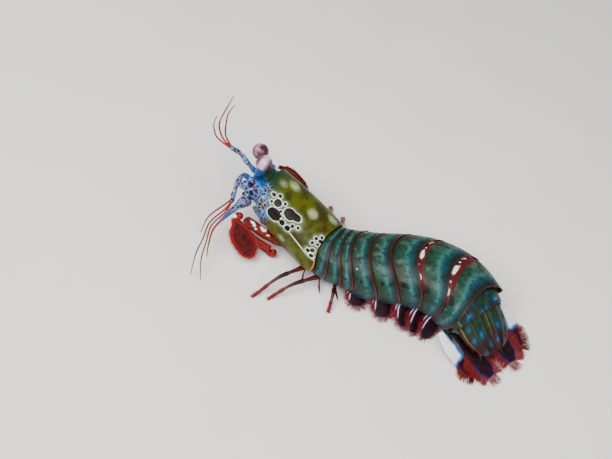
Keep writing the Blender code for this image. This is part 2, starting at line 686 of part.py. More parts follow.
def make_antenna(side):
    """An antenna's stalk and feeler, and the broad scale beside it"""
    sign = mirror(side)
    root, way = core_root(*ANTENNA_ROOT, sign)
    path = [root, root + way * 1.5] + [body_points(*point) for point in ANTENNAE[side]]
    solid = limb(path, ANTENNA_RADII, ANTENNA_RADII, (1.0, 0.0, 0.2), oval_section(6), 16, way)
    make_node("antenna_" + side, *solid, RED, frame_at(-37.5, sign * 10.2, -4.8))
    places, tilt = SCALES[side]
    path = [body_points(*point) for point in places]
    across = np.array(tilt) @ np.stack(directions(np.array(-28.0)))
    leaf = limb_rings(path, *SCALE_SIZES, across, blade_section(), 10)
    node = make_node("antennal_scale_" + side, *loft(leaf), MAROON, frame_at(-36.0, sign * 17.0, -10.5))
    fuse(node, fringe(leaf, 3, 6, 10, 1.5, 3))


def dactyl_path():
    """The dactyl's path in body coordinates: the half circle, then forward to its tip"""
    turns = np.radians(np.linspace(90.0, -90.0, 7))
    along, left, up = DACTYL_PIVOT
    bend = [(along + DACTYL_BEND * math.cos(turn), left, up + DACTYL_BEND * math.sin(turn)) for turn in turns]
    return tuple(bend) + DACTYL_END


def make_claw(side):
    """A great claw, folded under the carapace's edge: four pieces"""
    sign = mirror(side)
    _, lateral, up = directions(np.array(-22.0))
    pieces = (("merus", MERUS, up, 12, ORANGE), ("carpus", CARPUS, lateral, 5, IVORY),
              ("propodus", PROPODUS, up, 9, RED), ("dactyl", dactyl_path(), lateral, 16, RED))
    for name, path, across, count, colour in pieces:
        wide, deep = CLAW_SIZES[name]
        points = [body_points(along, sign * left, high) for along, left, high in path]
        way = None
        if name == "merus":
            root, way = core_root(*CLAW_ROOT, sign)
            points = [root, root + way] + points
        if name == "dactyl":
            way = -directions(np.array(DACTYL_PIVOT[0]))[0]
        solid = limb(points, wide, deep, across, oval_section(8), count, way)
        make_node("claw_%s_%s" % (name, side), *solid, colour,
                  frame_at(path[0][0], sign * path[0][1], path[0][2]))


def make_maxillipeds(side):
    """The three small feeding limbs, folded under the thorax one behind another"""
    sign = mirror(side)
    lateral = directions(np.array(-20.0))[1]
    for k in range(3):
        back = MAXILLIPED_SPACING * k
        path = ((-25.4 + back, 6.6, -11.8), (-26.2 + back, 6.8, -13.6), (-24.2 + back, 6.4, -15.4),
                (-21.6 + back, 5.9, -15.0))
        root, way = core_root(-20.5 + back, MAXILLIPED_TURN, sign)
        points = [root, root + way * 1.2]
        points += [body_points(along, sign * left, high) for along, left, high in path]
        solid = limb(points, *MAXILLIPED_SIZES, lateral, oval_section(6), 12, way)
        make_node("maxilliped_%d_%s" % (k + 3, side), *solid, RED,
                  frame_at(path[0][0], sign * path[0][1], path[0][2]))


def make_legs(side):
    """The three walking legs of one side, each ending in a small flat on the floor"""
    sign = mirror(side)
    start = 0.0
    for k, row in enumerate(SOMITES[:3]):
        along = start + 0.5 * row[1] + 1.0
        start += row[1]
        root, way = belly_root(along, sign * LEG_ROOT)
        forward, lateral, _ = directions(np.array(along))
        level = np.array((forward[0], forward[1], 0.0)) / math.hypot(forward[0], forward[1])
        ahead, out = FEET[side][k]
        foot = body_points(along, 0.0, 0.0) + level * ahead + sign * lateral * out
        foot[2] = 0.0
        hip = root + sign * lateral * 3.0 + way * 3.2
        knee = hip + 0.52 * (foot - hip)
        knee[2] = hip[2] + 0.6
        shin = hip + 0.86 * (foot - hip)
        shin[2] = 2.4
        rings = limb_rings((root, root + way * 1.4, hip, knee, shin, foot), LEG_RADII, LEG_RADII,
                           (0.0, 0.0, 1.0), oval_section(LEG_SIDES), 14, way)
        rings[..., 2] = np.maximum(rings[..., 2], FOOT_CLEAR)
        rings[-1, :, 2] = 0.0
        node = make_node("leg_%d_%s" % (k + 1, side), *loft(rings), RED,
                         frame_at(along, sign * LEG_ROOT, -BELLY_DEPTH))
        branch = (hip, hip + sign * lateral * 3.5 + way * 2.2 - forward * 1.6,
                  hip + sign * lateral * 7.0 + way * 2.4 - forward * 3.4)
        fuse(node, [limb(branch, *BRANCH_SIZES, forward, oval_section(4), 4)])


def make_pleopods(side):
    """The five swimmerets of one side, hanging under the abdomen and turned outward"""
    sign = mirror(side)
    start = sum(row[1] for row in SOMITES[:3])
    for k, row in enumerate(SOMITES[3:8]):
        along = start + 0.55 * row[1] + 1.5
        start += row[1]
        forward, lateral, up = directions(np.array(along))
        root, way = belly_root(along, sign * PLEOPOD_ROOT)
        neck = root + sign * lateral * 0.6 - up * 4.3 - forward * 0.4
        drop = (neck[2] - PLEOPOD_FLOOR) / up[2]
        tip = neck + sign * lateral * PLEOPOD_REACH[k] - up * drop - forward * PLEOPOD_LEAN[k]
        middle = 0.5 * (neck + tip) + sign * lateral * 0.6
        across = 0.6 * forward + 0.8 * sign * lateral
        stem = limb((root, neck), (1.5, 1.6, 1.5), (0.9, 0.9, 0.6), across, petal_section(), 3, way)
        node = make_node("pleopod_%d_%s" % (k + 1, side), *stem, MAROON,
                         frame_at(along, sign * PLEOPOD_ROOT, -BELLY_DEPTH))
        foot = neck + 0.25 * (root - neck)
        outer = limb_rings((foot, middle, tip), PETAL_WIDTHS, PETAL_DEPTHS, across, petal_section(), 6)
        inner_tip = neck + 0.86 * (tip - neck) - sign * lateral * 1.8 + forward * 2.6
        inner_middle = 0.5 * (neck + inner_tip) + forward * 0.8
        inner = limb_rings((foot, inner_middle, inner_tip), 0.8 * PETAL_WIDTHS, PETAL_DEPTHS, across,
                           petal_section(), 6)
        pieces = [loft(outer), loft(inner)] + fringe(outer, 2, 2, 5, 1.8, k)
        gill = foot + 0.3 * (inner_middle - foot)
        pieces.append(bristle(gill, gill - sign * lateral * 2.6 - up * 1.2, forward))
        fuse(node, pieces)


def telson_half(share):
    """Half-width of the telson at a share of its length"""
    return TELSON_HALF_WIDTH * (1.0 - 0.5 * share ** 2.6) * (0.97 if share == 0.0 else 1.0)


def telson_point(share, part):
    """A point on the telson's side margin, or inside it for a part of the half-width below one"""
    left = part * telson_half(share)
    sweep = TAIL_SWEEP * swept(0.0, left)
    return body_points(BODY_LENGTH + 0.5 * GAP + share * TELSON_LENGTH + sweep, left, 0.4 - 0.9 * share)


def make_telson():
    """The telson: a broad plate with keels, narrowing to its toothed end"""
    rings = []
    start = BODY_LENGTH + 0.5 * GAP
    for share in (0.0, 0.15, 0.4, 0.65, 0.85, 1.0):
        high = TELSON_TOP - TELSON_FALL * share
        keels = tuple((place, TELSON_KEEL_HEIGHT) for place in TELSON_KEELS)
        across, up = somite_section(telson_half(share), high, TELSON_RIM_DEPTH, keels)
        up = np.maximum(up, TELSON_UNDERSIDE + 0.9 * share)
        sweep = TAIL_SWEEP * swept(0.0, across)
        rings.append(body_points(start + share * TELSON_LENGTH + sweep, across, up))
    node = make_node("telson", *loft(rings), DARK_GREEN, frame_at(start))
    teeth = []
    for sign in (1.0, -1.0):
        for share, part, back, aside, radius in TELSON_TEETH:
            base = telson_point(share, sign * (part - 0.14))
            forward, lateral, _ = directions(np.array(BODY_LENGTH))
            teeth.append(spine(base, base - forward * back + sign * lateral * aside, radius))
    fuse(node, teeth)


def make_uropod(side):
    """A uropod: its base, and the outer and inner paddles"""
    sign = mirror(side)
    lateral = directions(np.array(90.0))[1]
    pieces = (("protopod", PROTOPOD, 6, DARK_GREEN), ("exopod", EXOPOD[side], 11, IVORY),
              ("endopod", ENDOPOD, 11, MAROON))
    for name, path, count, colour in pieces:
        wide, deep = UROPOD_SIZES[name]
        points = [body_points(along, sign * left, high) for along, left, high in path]
        rings = limb_rings(points, wide, deep, lateral, blade_section(), count)
        rings[..., 2] = np.maximum(rings[..., 2], 0.0)
        node = make_node("uropod_%s_%s" % (name, side), *loft(rings), colour,
                         frame_at(path[0][0], sign * path[0][1], path[0][2]))
        fuse(node, uropod_trim(name, sign, rings))


def uropod_trim(name, sign, rings):
    """The spines and bristles that belong to one piece of a uropod"""
    if name == "protopod":
        trim = []
        for base, tip in PROTOPOD_SPINES:
            base = body_points(base[0], sign * base[1], base[2])
            tip = body_points(tip[0], sign * tip[1], tip[2])
            trim.append(spine(base, tip, TRIM_SPINE_RADIUS))
        return trim
    if name == "endopod":
        return fringe(rings, 6, 6, 8, 3.2, 5)
    outline, centre = paddle_outline(rings, 0, 0)
    outer = 0 if sign > 0 else len(outline) - len(rings)
    edge = outline[outer:outer + len(rings)]
    edge = edge if sign > 0 else edge[::-1]
    edge = smooth_path(edge[1:6], 7)
    trim = []
    for point in edge:
        heart = centre[int(np.argmin(np.linalg.norm(centre - point, axis=1)))]
        out = (point - heart) / np.linalg.norm(point - heart)
        base = point - out * 0.9
        tip = point + out * 0.9 - directions(np.array(90.0))[0] * 1.6
        base[2] = max(base[2], BRISTLE_FLOOR)
        tip[2] = max(tip[2], BRISTLE_FLOOR)
        trim.append(bristle(base, tip, edge[-1] - edge[0]))
    return trim + fringe(rings, 7, 6, 7, 2.8, 6)


def main():
    """Build the whole animal"""
    clear_scene()
    make_carapace()
    make_rostrum()
    make_core()
    make_somites()
    make_telson()
    for side in ("l", "r"):
        make_eye(side)
        make_antennule(side)
        make_antenna(side)
        make_claw(side)
        make_maxillipeds(side)
        make_legs(side)
        make_pleopods(side)
        make_uropod(side)


main()
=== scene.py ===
import math

import bpy
import numpy as np
from bpy.props import FloatProperty, FloatVectorProperty, PointerProperty
from mathutils import Matrix, Vector


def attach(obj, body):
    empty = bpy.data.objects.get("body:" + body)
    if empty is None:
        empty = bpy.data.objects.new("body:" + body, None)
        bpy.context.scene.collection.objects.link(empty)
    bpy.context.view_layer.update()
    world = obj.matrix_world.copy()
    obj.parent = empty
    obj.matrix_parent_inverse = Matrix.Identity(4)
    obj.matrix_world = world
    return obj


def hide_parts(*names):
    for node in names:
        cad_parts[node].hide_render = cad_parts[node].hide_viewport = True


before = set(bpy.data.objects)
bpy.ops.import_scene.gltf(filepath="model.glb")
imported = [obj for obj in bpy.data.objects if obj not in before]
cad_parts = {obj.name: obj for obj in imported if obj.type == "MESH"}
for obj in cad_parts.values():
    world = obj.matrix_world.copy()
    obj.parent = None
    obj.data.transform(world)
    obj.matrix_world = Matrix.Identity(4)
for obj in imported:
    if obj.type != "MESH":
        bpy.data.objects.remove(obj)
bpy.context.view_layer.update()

bl_info = {
    "name": "Mantis shrimp model",
    "version": (1, 0, 0),
    "blender": (4, 5, 0),
    "location": "3D View > Sidebar > Shrimp",
    "description": "Shell, limbs, fringes and display floor of a life-size mantis shrimp",
    "category": "Add Mesh",
}

MM = 0.001
GAP = 0.3
FLOOR_CLEAR = 0.12
# A field's value where its mark is nowhere near
FAR = 9.0
# The shares at both ends of a path
ENDS = (0.0, 1.0)
# Half the size of a blade's own patch in the UV map made for baking its colours
PATCH = 0.0015
SHARP_ANGLE = math.radians(50)
# The sign of left in body coordinates for each side's name
SIDES = {"l": 1.0, "r": -1.0}

# The body's axis, in millimetres and degrees, as in the part's own source
START = np.array((18.84, -5.24, 15.1))
START_YAW = -9.0
START_PITCH = 21.5
CARAPACE_LENGTH = 36.0
CARAPACE_YAW_BEND = -9.0
CARAPACE_PITCH_BEND = 2.0
HEAD_REACH = 90.0
TAIL_REACH = 60.0

# Each somite: name, length, half-widths in front and behind, height of the back, turns in degrees
SOMITES = (
    ("thorax_6", 5.0, 13.0, 13.8, 9.4, 12.0, -6.0),
    ("thorax_7", 5.5, 13.8, 14.6, 9.8, 9.0, -9.0),
    ("thorax_8", 5.5, 14.6, 15.2, 10.2, 6.0, -8.0),
    ("abdomen_1", 10.0, 15.4, 16.1, 10.6, 0.0, -9.5),
    ("abdomen_2", 11.0, 16.1, 16.8, 11.0, 1.5, -8.0),
    ("abdomen_3", 12.0, 16.8, 17.3, 11.2, -7.0, 3.5),
    ("abdomen_4", 12.5, 17.3, 17.6, 11.2, -7.0, 18.0),
    ("abdomen_5", 13.0, 17.6, 16.9, 10.8, -18.0, 18.0),
    ("abdomen_6", 9.0, 15.2, 13.8, 8.6, -9.0, 4.5),
)
BODY_LENGTH = sum(row[1] for row in SOMITES)
MARGIN_SWEEP = 5.0
SWEEP_WIDTH = 15.0
BELLY_DEPTH = 3.8
PLEURA_DEPTH = 8.6
THORAX_PLEURA_DEPTH = 5.0
LIP = 0.9

# Carapace, head and telson, in mm; the groove lies at a part of the half-width
CARAPACE_HALF_REAR = 14.6
CARAPACE_HALF_FRONT = 12.2
CARAPACE_TOP = 9.8
CARAPACE_SIDE_DEPTH = 7.0
ARCH_END = math.radians(118.0)
SHELL = 1.2
GROOVE_AT = 0.88
GROOVE_DEPTH = 0.4
CARAPACE_FALL = 0.8
RIM_THICKNESS = 0.35
CORE_DEPTH = 8.0
CORE_SIDE_GAP = 1.6
HEAD_SPLIT = -25.0
HEAD_FRONT = -42.6
TELSON_LENGTH = 18.5
TELSON_HALF_WIDTH = 12.8
EYE_RADIUS = 3.8


def bend_knots():
    """Distances along the axis, with the yaw and pitch in degrees reached at each"""
    at = [-HEAD_REACH, -CARAPACE_LENGTH, 0.0]
    yaw = [START_YAW - CARAPACE_YAW_BEND, START_YAW - CARAPACE_YAW_BEND, START_YAW]
    pitch = [START_PITCH - CARAPACE_PITCH_BEND, START_PITCH - CARAPACE_PITCH_BEND, START_PITCH]
    for row in SOMITES:
        at.append(at[-1] + row[1])
        yaw.append(yaw[-1] + row[5])
        pitch.append(pitch[-1] + row[6])
    at.append(at[-1] + TAIL_REACH)
    yaw.append(yaw[-1])
    pitch.append(pitch[-1])
    return np.array(at), np.array(yaw), np.array(pitch)


def directions(along):
    """Forward, left and up unit vectors: yaw turns them about the vertical, then pitch lifts them"""
    at, yaw, pitch = bend_knots()
    turn = np.radians(np.interp(along, at, yaw))
    rise = np.radians(np.interp(along, at, pitch))
    forward = np.stack((np.cos(rise) * np.cos(turn), np.cos(rise) * np.sin(turn), np.sin(rise)), -1)
    left = np.stack((-np.sin(turn), np.cos(turn), 0.0 * turn), -1)
    return forward, left, np.cross(forward, left)


def somites(first, last):
    """Rows of SOMITES from first up to last, each with its start's distance behind the carapace"""
    starts = np.cumsum([0.0] + [row[1] for row in SOMITES])
    return list(zip(SOMITES, starts))[first:last]


def trace_axis():
    """Points of the axis: the forward vector summed backward every half millimetre from START"""
    along = np.arange(-HEAD_REACH, BODY_LENGTH + TAIL_REACH, 0.5)
    forward = directions(along)[0]
    steps = -0.5 * (forward[1:] + forward[:-1]) * np.diff(along)[:, None]
    points = np.vstack((np.zeros(3), np.cumsum(steps, axis=0)))
    zero = int(np.argmin(np.abs(along)))
    return along, points - points[zero] + START


AXIS_ALONG, AXIS_POINTS = trace_axis()


def body_points(along, left, up):
    """World points: the axis point at that distance, plus left and up along its two side vectors"""
    along, left, up = np.broadcast_arrays(*(np.asarray(value, float) for value in (along, left, up)))
    _, side, top = directions(along)
    base = np.stack([np.interp(along, AXIS_ALONG, AXIS_POINTS[:, k]) for k in range(3)], -1)
    return base + side * left[..., None] + top * up[..., None]


def body_path(places, sign=1.0):
    """World points of a list of (along, left, up), mirrored for the right side"""
    return [body_points(along, sign * left, up) for along, left, up in places]


def smooth(value):
    """0 below 0, 1 above 1, and 3v^2 - 2v^3 between"""
    value = np.clip(value, 0.0, 1.0)
    return value * value * (3.0 - 2.0 * value)


def eased(share, values):
    """Values at even knots, each run between two knots eased at both ends"""
    place = np.clip(share, 0.0, 1.0) * (len(values) - 1)
    first = np.minimum(place.astype(int), len(values) - 2)
    values = np.asarray(values, float)
    return values[first] + (values[first + 1] - values[first]) * smooth(place - first)


def smooth_path(points, shares):
    """Points at shares of the length of a Catmull-Rom curve through the given ones"""
    points = np.asarray(points, float)
    padded = np.vstack((2 * points[0] - points[1], points, 2 * points[-1] - points[-2]))
    t = np.linspace(0.0, 1.0, 16, endpoint=False)[:, None]
    dense = []
    for k in range(len(points) - 1):
        p0, p1, p2, p3 = padded[k:k + 4]
        bend = 2 * p1 + (p2 - p0) * t + (2 * p0 - 5 * p1 + 4 * p2 - p3) * t ** 2
        dense.append(0.5 * (bend + (3 * p1 - p0 - 3 * p2 + p3) * t ** 3))
    dense = np.vstack(dense + [points[-1:]])
    walked = np.concatenate(((0.0,), np.cumsum(np.linalg.norm(np.diff(dense, axis=0), axis=1))))
    even = np.asarray(shares) * walked[-1]
    return np.stack([np.interp(even, walked, dense[:, k]) for k in range(3)], -1), walked[-1]


def oval_section(sides, power=1.0):
    """Unit oval: x = cosine and y = sine of the angle, each raised to a power that squares it off"""
    angles = (np.arange(sides) + 0.5) * 2.0 * math.pi / sides
    cosine, sine = np.cos(angles), np.sin(angles)
    return np.stack((np.sign(cosine) * np.abs(cosine) ** power, np.sign(sine) * np.abs(sine) ** power), -1)


def unit(vectors):
    """Vectors over their lengths"""
    return vectors / np.linalg.norm(vectors, axis=-1, keepdims=True)


def square_to(vectors, way):
    """What is left of vectors once their part along the unit vectors way is taken off, made unit"""
    return unit(vectors - way * (vectors * way).sum(-1, keepdims=True))


def limb_rings(points, wide, deep, across, section, count, way=None, rounded=True, floor=FLOOR_CLEAR):
    """Rings square to a smooth path: path + wide x section x across + deep x section y normal.

    Shares of the length crowd at both ends by a cosine, and the ends are rounded as a half circle.
    No point lies lower than the floor given.
    """
    share = 0.5 - 0.5 * np.cos(np.linspace(0.0, math.pi, count))
    path, length = smooth_path(points, share)
    tangent = np.gradient(path, axis=0)
    if way is not None:
        tangent[0] = way * np.linalg.norm(tangent[0])
    tangent = unit(tangent)
    side = square_to(np.asarray(across, float), tangent)
    normal = np.cross(tangent, side)
    wide, deep = eased(share, wide), eased(share, deep)
    if rounded:
        ends = np.minimum(share, 1.0 - share) * length / np.maximum(0.7 * np.minimum(wide, deep), 1e-3)
        round_off = np.sqrt(1.0 - (1.0 - np.clip(ends, 0.03, 1.0)) ** 2)
        wide, deep = wide * round_off, deep * round_off
    wide_part = wide[:, None, None] * section[None, :, 0, None] * side[:, None, :]
    deep_part = deep[:, None, None] * section[None, :, 1, None] * normal[:, None, :]
    rings = path[:, None, :] + wide_part + deep_part
    rings[..., 2] = np.maximum(rings[..., 2], floor)
    return rings, share


def loft(rings, **fields):
    """A closed skin through rings of one even count; end point k is joined to count-1-k across it"""
    rings = np.asarray(rings, float)
    rows, count = rings.shape[:2]
    row, place = np.meshgrid(np.arange(rows - 1), np.arange(count), indexing="ij")
    a = row * count + place
    b = row * count + (place + 1) % count
    sides = np.stack((a, b, b + count, a + count), -1).reshape(-1, 4)
    k = np.arange(count // 2 - 1)
    first = np.stack((k, count - 1 - k, count - 2 - k, k + 1), -1)
    faces = np.vstack((sides, first, first[:, ::-1] + (rows - 1) * count))
    vertices = rings.reshape(-1, 3)
    full = {key: np.broadcast_to(value, (rows, count)).ravel() for key, value in fields.items()}
    return {"vertices": vertices, "faces": outward(vertices, faces), "fields": full}


def outward(vertices, faces):
    """The faces, all turned over if the sum of corner products shows a negative volume"""
    c = vertices[faces]
    volume = np.einsum("ij,ij->", c[:, 0], np.cross(c[:, 1], c[:, 2]) + np.cross(c[:, 2], c[:, 3]))
    return faces if volume > 0 else faces[:, ::-1]


def merged(parts):
    """Several skins as one, their faces renumbered; a field that one lacks is 0 there"""
    keys = sorted({key for part in parts for key in part["fields"]})
    shift = np.cumsum([0] + [len(part["vertices"]) for part in parts])
    fields = {}
    for key in keys:
        fields[key] = np.concatenate([part["fields"].get(key, np.zeros(len(part["vertices"])))
                                      for part in parts])
    return {"vertices": np.vstack([part["vertices"] for part in parts]),
            "faces": np.vstack([part["faces"] + add for part, add in zip(parts, shift)]),
            "fields": fields}


def swollen(rings, factor):
    """Rings scaled about their own middles, by one factor each"""
    centre = rings.mean(axis=1)[:, None]
    return centre + (rings - centre) * factor[:, None, None]


def blades(bases, ways, across, lengths, width, spots, bend=None):
    """Tapered blades of four sides: base + way t length + bend t^2, ringed at width (1 - 0.8 t)"""
    t = np.linspace(0.0, 1.0, 5)
    centre = bases[:, None] + ways[:, None] * (t * lengths[:, None])[..., None]
    if bend is not None:
        centre = centre + bend[:, None] * (t ** 2)[None, :, None]
    side = unit(across)
    normal = np.cross(ways, side)
    corner = np.array(((1.0, 0.0), (0.0, 0.55), (-1.0, 0.0), (0.0, -0.55)))
    size = (width * (1.0 - 0.8 * t))[None, :, None, None]
    rings = centre[:, :, None] + size * (corner[:, 0, None] * side[:, None, None]
                                         + corner[:, 1, None] * normal[:, None, None])
    rings[..., 2] = np.maximum(rings[..., 2], FLOOR_CLEAR)
    one = loft(rings[0])["faces"]
    faces = (one[None] + (np.arange(len(bases)) * len(t) * 4)[:, None, None]).reshape(-1, 4)
    fields = {"tip": t[None, :, None], "patch_u": spots[:, 0, None, None] + PATCH * corner[:, 0],
              "patch_v": spots[:, 1, None, None] + PATCH * t[None, :, None]}
    fields = {key: np.broadcast_to(value, rings.shape[:3]).ravel() for key, value in fields.items()}
    return {"vertices": rings.reshape(-1, 3), "faces": faces, "fields": fields}


def make_piece(name, part, finish, nodes):
    """A mesh object at the origin from a skin in millimetres, riding on the body in a node's place"""
    mesh = bpy.data.meshes.new(name)
    mesh.from_pydata(part["vertices"] * MM, [], part["faces"])
    fields = dict(part["fields"])
    patch = fields.pop("patch_u", None), fields.pop("patch_v", None)
    for key, values in fields.items():
        layer = mesh.attributes.new(key, "FLOAT", "POINT")
        layer.data.foreach_set("value", np.ascontiguousarray(values, dtype=np.float32))
    if patch[0] is not None:
        corners = np.empty(len(mesh.loops), dtype=np.int32)
        mesh.loops.foreach_get("vertex_index", corners)
        places = np.stack((patch[0][corners], patch[1][corners]), -1)
        mesh.uv_layers.new(name="OFBake").data.foreach_set("uv", places.astype(np.float32).ravel())
    mesh.materials.append(finish)
    mesh.shade_smooth()
    mesh.set_sharp_from_angle(angle=SHARP_ANGLE)
    piece = bpy.data.objects.new(name, mesh)
    bpy.context.scene.collection.objects.link(piece)
    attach(piece, "root")
    if nodes:
        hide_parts(*nodes)
    return piece


# Materials

# Half-widths in mm of the painted lines, each measured from its own field's zero
GROOVE_LINE = 0.2
CELL_EDGE = 0.2
CELL_RING = 0.48
LOBE_RIM = 0.32
PLATE_MARGIN = 0.34
TAIL_MARGIN = 0.25
KEEL_LINE = 0.12
GOLD_LINE = 0.12
# The net: its line as a share of a mesh, and how far in mm it is bent over what distance
NET_LINE = 0.048
NET_SHIFT = 0.9
NET_BEND = 1.5


class Coat:
    """A material being painted: its node tree, its shader, the palette and the colour laid so far"""

    def __init__(self, name):
        self.material = bpy.data.materials.new(name)
        self.material.use_nodes = True
        self.tree = self.material.node_tree
        self.shader = self.tree.nodes["Principled BSDF"]
        self.look = bpy.context.scene.shrimp_colours
        self.place = self.put("ShaderNodeTexCoord").outputs["Object"]
        self.base = None

    def put(self, kind, inputs=None, **settings):
        """A shader node with its settings; an input is a number, a colour or another node's output"""
        made = self.tree.nodes.new(kind)
        for key, value in settings.items():
            setattr(made, key, value)
        for key, value in (inputs or {}).items():
            if isinstance(value, bpy.types.NodeSocket):
                self.tree.links.new(value, made.inputs[key])
            elif made.inputs[key].type == "RGBA":
                made.inputs[key].default_value = (*value[:3], 1.0)
            else:
                made.inputs[key].default_value = value
        return made

    def field(self, name):
        """A mesh attribute's value"""
        return self.put("ShaderNodeAttribute", attribute_name=name).outputs["Fac"]

    def noise(self, size, detail=3.0, roughness=0.55):
        """Noise whose features are about size millimetres, between 0 and 1"""
        inputs = {"Vector": self.place, "Scale": 1.0 / (size * MM), "Detail": detail, "Roughness": roughness}
        return self.put("ShaderNodeTexNoise", inputs).outputs["Fac"]

    def cells(self, size):
        """Distance to Voronoi points about size millimetres apart"""
        inputs = {"Vector": self.place, "Scale": 1.0 / (size * MM)}
        return self.put("ShaderNodeTexVoronoi", inputs).outputs["Distance"]

    def calc(self, operation, first, second):
        """A Math node"""
        return self.put("ShaderNodeMath", {0: first, 1: second}, operation=operation).outputs["Value"]

    def times(self, first, second):
        """One value times another"""
        return self.calc("MULTIPLY", first, second)

    def plus(self, first, second):
        """One value added to another"""
        return self.calc("ADD", first, second)

    def wobble(self, size, height, detail=3.0):
        """Noise from -height / 2 to height / 2"""
        return self.times(self.calc("SUBTRACT", self.noise(size, detail), 0.5), height)

    def span(self, value, low, high, out_low=0.0, out_high=1.0):
        """Value carried from the range low..high to out_low..out_high, smoothly and clamped"""
        inputs = {"Value": value, "From Min": low, "From Max": high, "To Min": out_low, "To Max": out_high}
        return self.put("ShaderNodeMapRange", inputs, interpolation_type="SMOOTHSTEP").outputs["Result"]

    def inside(self, value, at, soft=0.1):
        """1 where value is below at and 0 above, over a soft edge"""
        return self.span(value, at - soft, at + soft, 1.0, 0.0)

    def mix(self, share, first, second):
        """First colour where share is 0 and second where it is 1; sockets 6 and 7 hold the colours"""
        return self.put("ShaderNodeMix", {0: share, 6: first, 7: second}, data_type="RGBA").outputs[2]

    def over(self, share, colour):
        """Lay a colour over the coat where share is 1"""
        self.base = self.mix(share, self.base, colour)

    def ramp(self, value, stops):
        """A colour ramp through (place, colour) stops"""
        made = self.put("ShaderNodeValToRGB", {"Fac": value})
        bar = made.color_ramp
        while len(bar.elements) < len(stops):
            bar.elements.new(0.5)
        for element, (place, colour) in zip(bar.elements, stops):
            element.position = place
            element.color = (*colour[:3], 1.0)
        return made.outputs["Color"]

    def grain(self, coarse=1.1, fine=0.28, share=0.35):
        """Shell grain: broad noise with fine pits"""
        return self.plus(self.times(self.noise(coarse), 1.0 - share), self.times(self.cells(fine), share))

    def finish(self, height, depth=0.12, roughness=(0.28, 0.42), specular=0.22, wear=None, strength=1.0):
        """Join colour, bump and roughness; height is in parts of depth, in millimetres"""
        if wear is None:
            wear = self.span(self.noise(2.2, 4.0), 0.3, 0.7, *roughness)
        bump = self.put("ShaderNodeBump", {"Height": height, "Distance": depth * MM, "Strength": strength})
        joined = {"Base Color": self.base, "Roughness": wear, "Normal": bump.outputs["Normal"]}
        for key, value in joined.items():
            self.tree.links.new(value, self.shader.inputs[key])
        self.shader.inputs["Specular IOR Level"].default_value = specular
        return self.material


def mosaic(coat, amount, size=2.5):
    """A pale net over the coat where amount is 1, its meshes brown, red, green or blue at random"""
    look = coat.look
    shift = coat.put("ShaderNodeTexNoise", {"Vector": coat.place, "Scale": 1.0 / (NET_BEND * MM)})
    moved = coat.put("ShaderNodeVectorMath", {0: shift.outputs["Color"], 1: (NET_SHIFT * MM,) * 3},
                     operation="MULTIPLY")
    bent = coat.put("ShaderNodeVectorMath", {0: coat.place, 1: moved.outputs["Vector"]}, operation="ADD")
    inputs = {"Vector": bent.outputs["Vector"], "Scale": 1.0 / (size * MM)}
    picked = coat.put("ShaderNodeTexVoronoi", inputs).outputs["Color"]
    chance = coat.put("ShaderNodeSeparateColor", {"Color": picked}).outputs["Red"]
    crack = coat.put("ShaderNodeTexVoronoi", inputs, feature="DISTANCE_TO_EDGE").outputs["Distance"]
    fill = coat.ramp(chance, ((0.1, look.brown), (0.3, look.red_dark), (0.36, look.head_blue),
                              (0.48, look.sky), (0.55, look.head_blue), (0.66, look.green),
                              (0.75, look.cell), (0.95, look.brown)))
    coat.over(coat.times(amount, coat.inside(coat.noise(3.5, 1.0), 0.6, 0.05)), fill)
    coat.over(coat.times(coat.inside(crack, NET_LINE, 0.03), amount), look.lavender)


def carapace_finish():
    """Olive shell with pale blotches, the white net of brown cells, the groove line and the rim"""
    coat = Coat("carapace_shell")
    look = coat.look
    coat.base = coat.mix(coat.span(coat.noise(7.0, 2.0), 0.38, 0.64), look.olive, look.olive_dark)
    coat.over(coat.times(coat.span(coat.noise(0.9, 5.0, 0.7), 0.5, 0.75), 0.3), look.olive_light)
    broken = coat.span(coat.noise(1.8), 0.3, 0.6, 0.5, 0.95)
    coat.over(coat.times(coat.field("blotch"), broken), look.blotch)
    coat.over(coat.field("front"), look.front)
    mosaic(coat, coat.field("net"), 1.9)
    coat.over(coat.inside(coat.field("line"), GROOVE_LINE), look.white)
    near = coat.plus(coat.field("cells"), coat.wobble(1.6, 0.6))
    coat.over(coat.times(coat.inside(near, 1.25, 0.75), 0.55), look.glow)
    coat.over(coat.inside(near, CELL_RING, 0.14), look.white)
    inner = coat.mix(coat.span(coat.noise(1.0), 0.35, 0.65), look.cell, look.cell_dark)
    coat.over(coat.inside(near, CELL_EDGE), inner)
    coat.over(coat.inside(coat.field("rim"), LOBE_RIM, 0.14), look.rim)
    height = coat.plus(coat.grain(), coat.times(coat.inside(near, CELL_EDGE, 0.4), 0.4))
    return coat.finish(height, 0.1, specular=0.16)


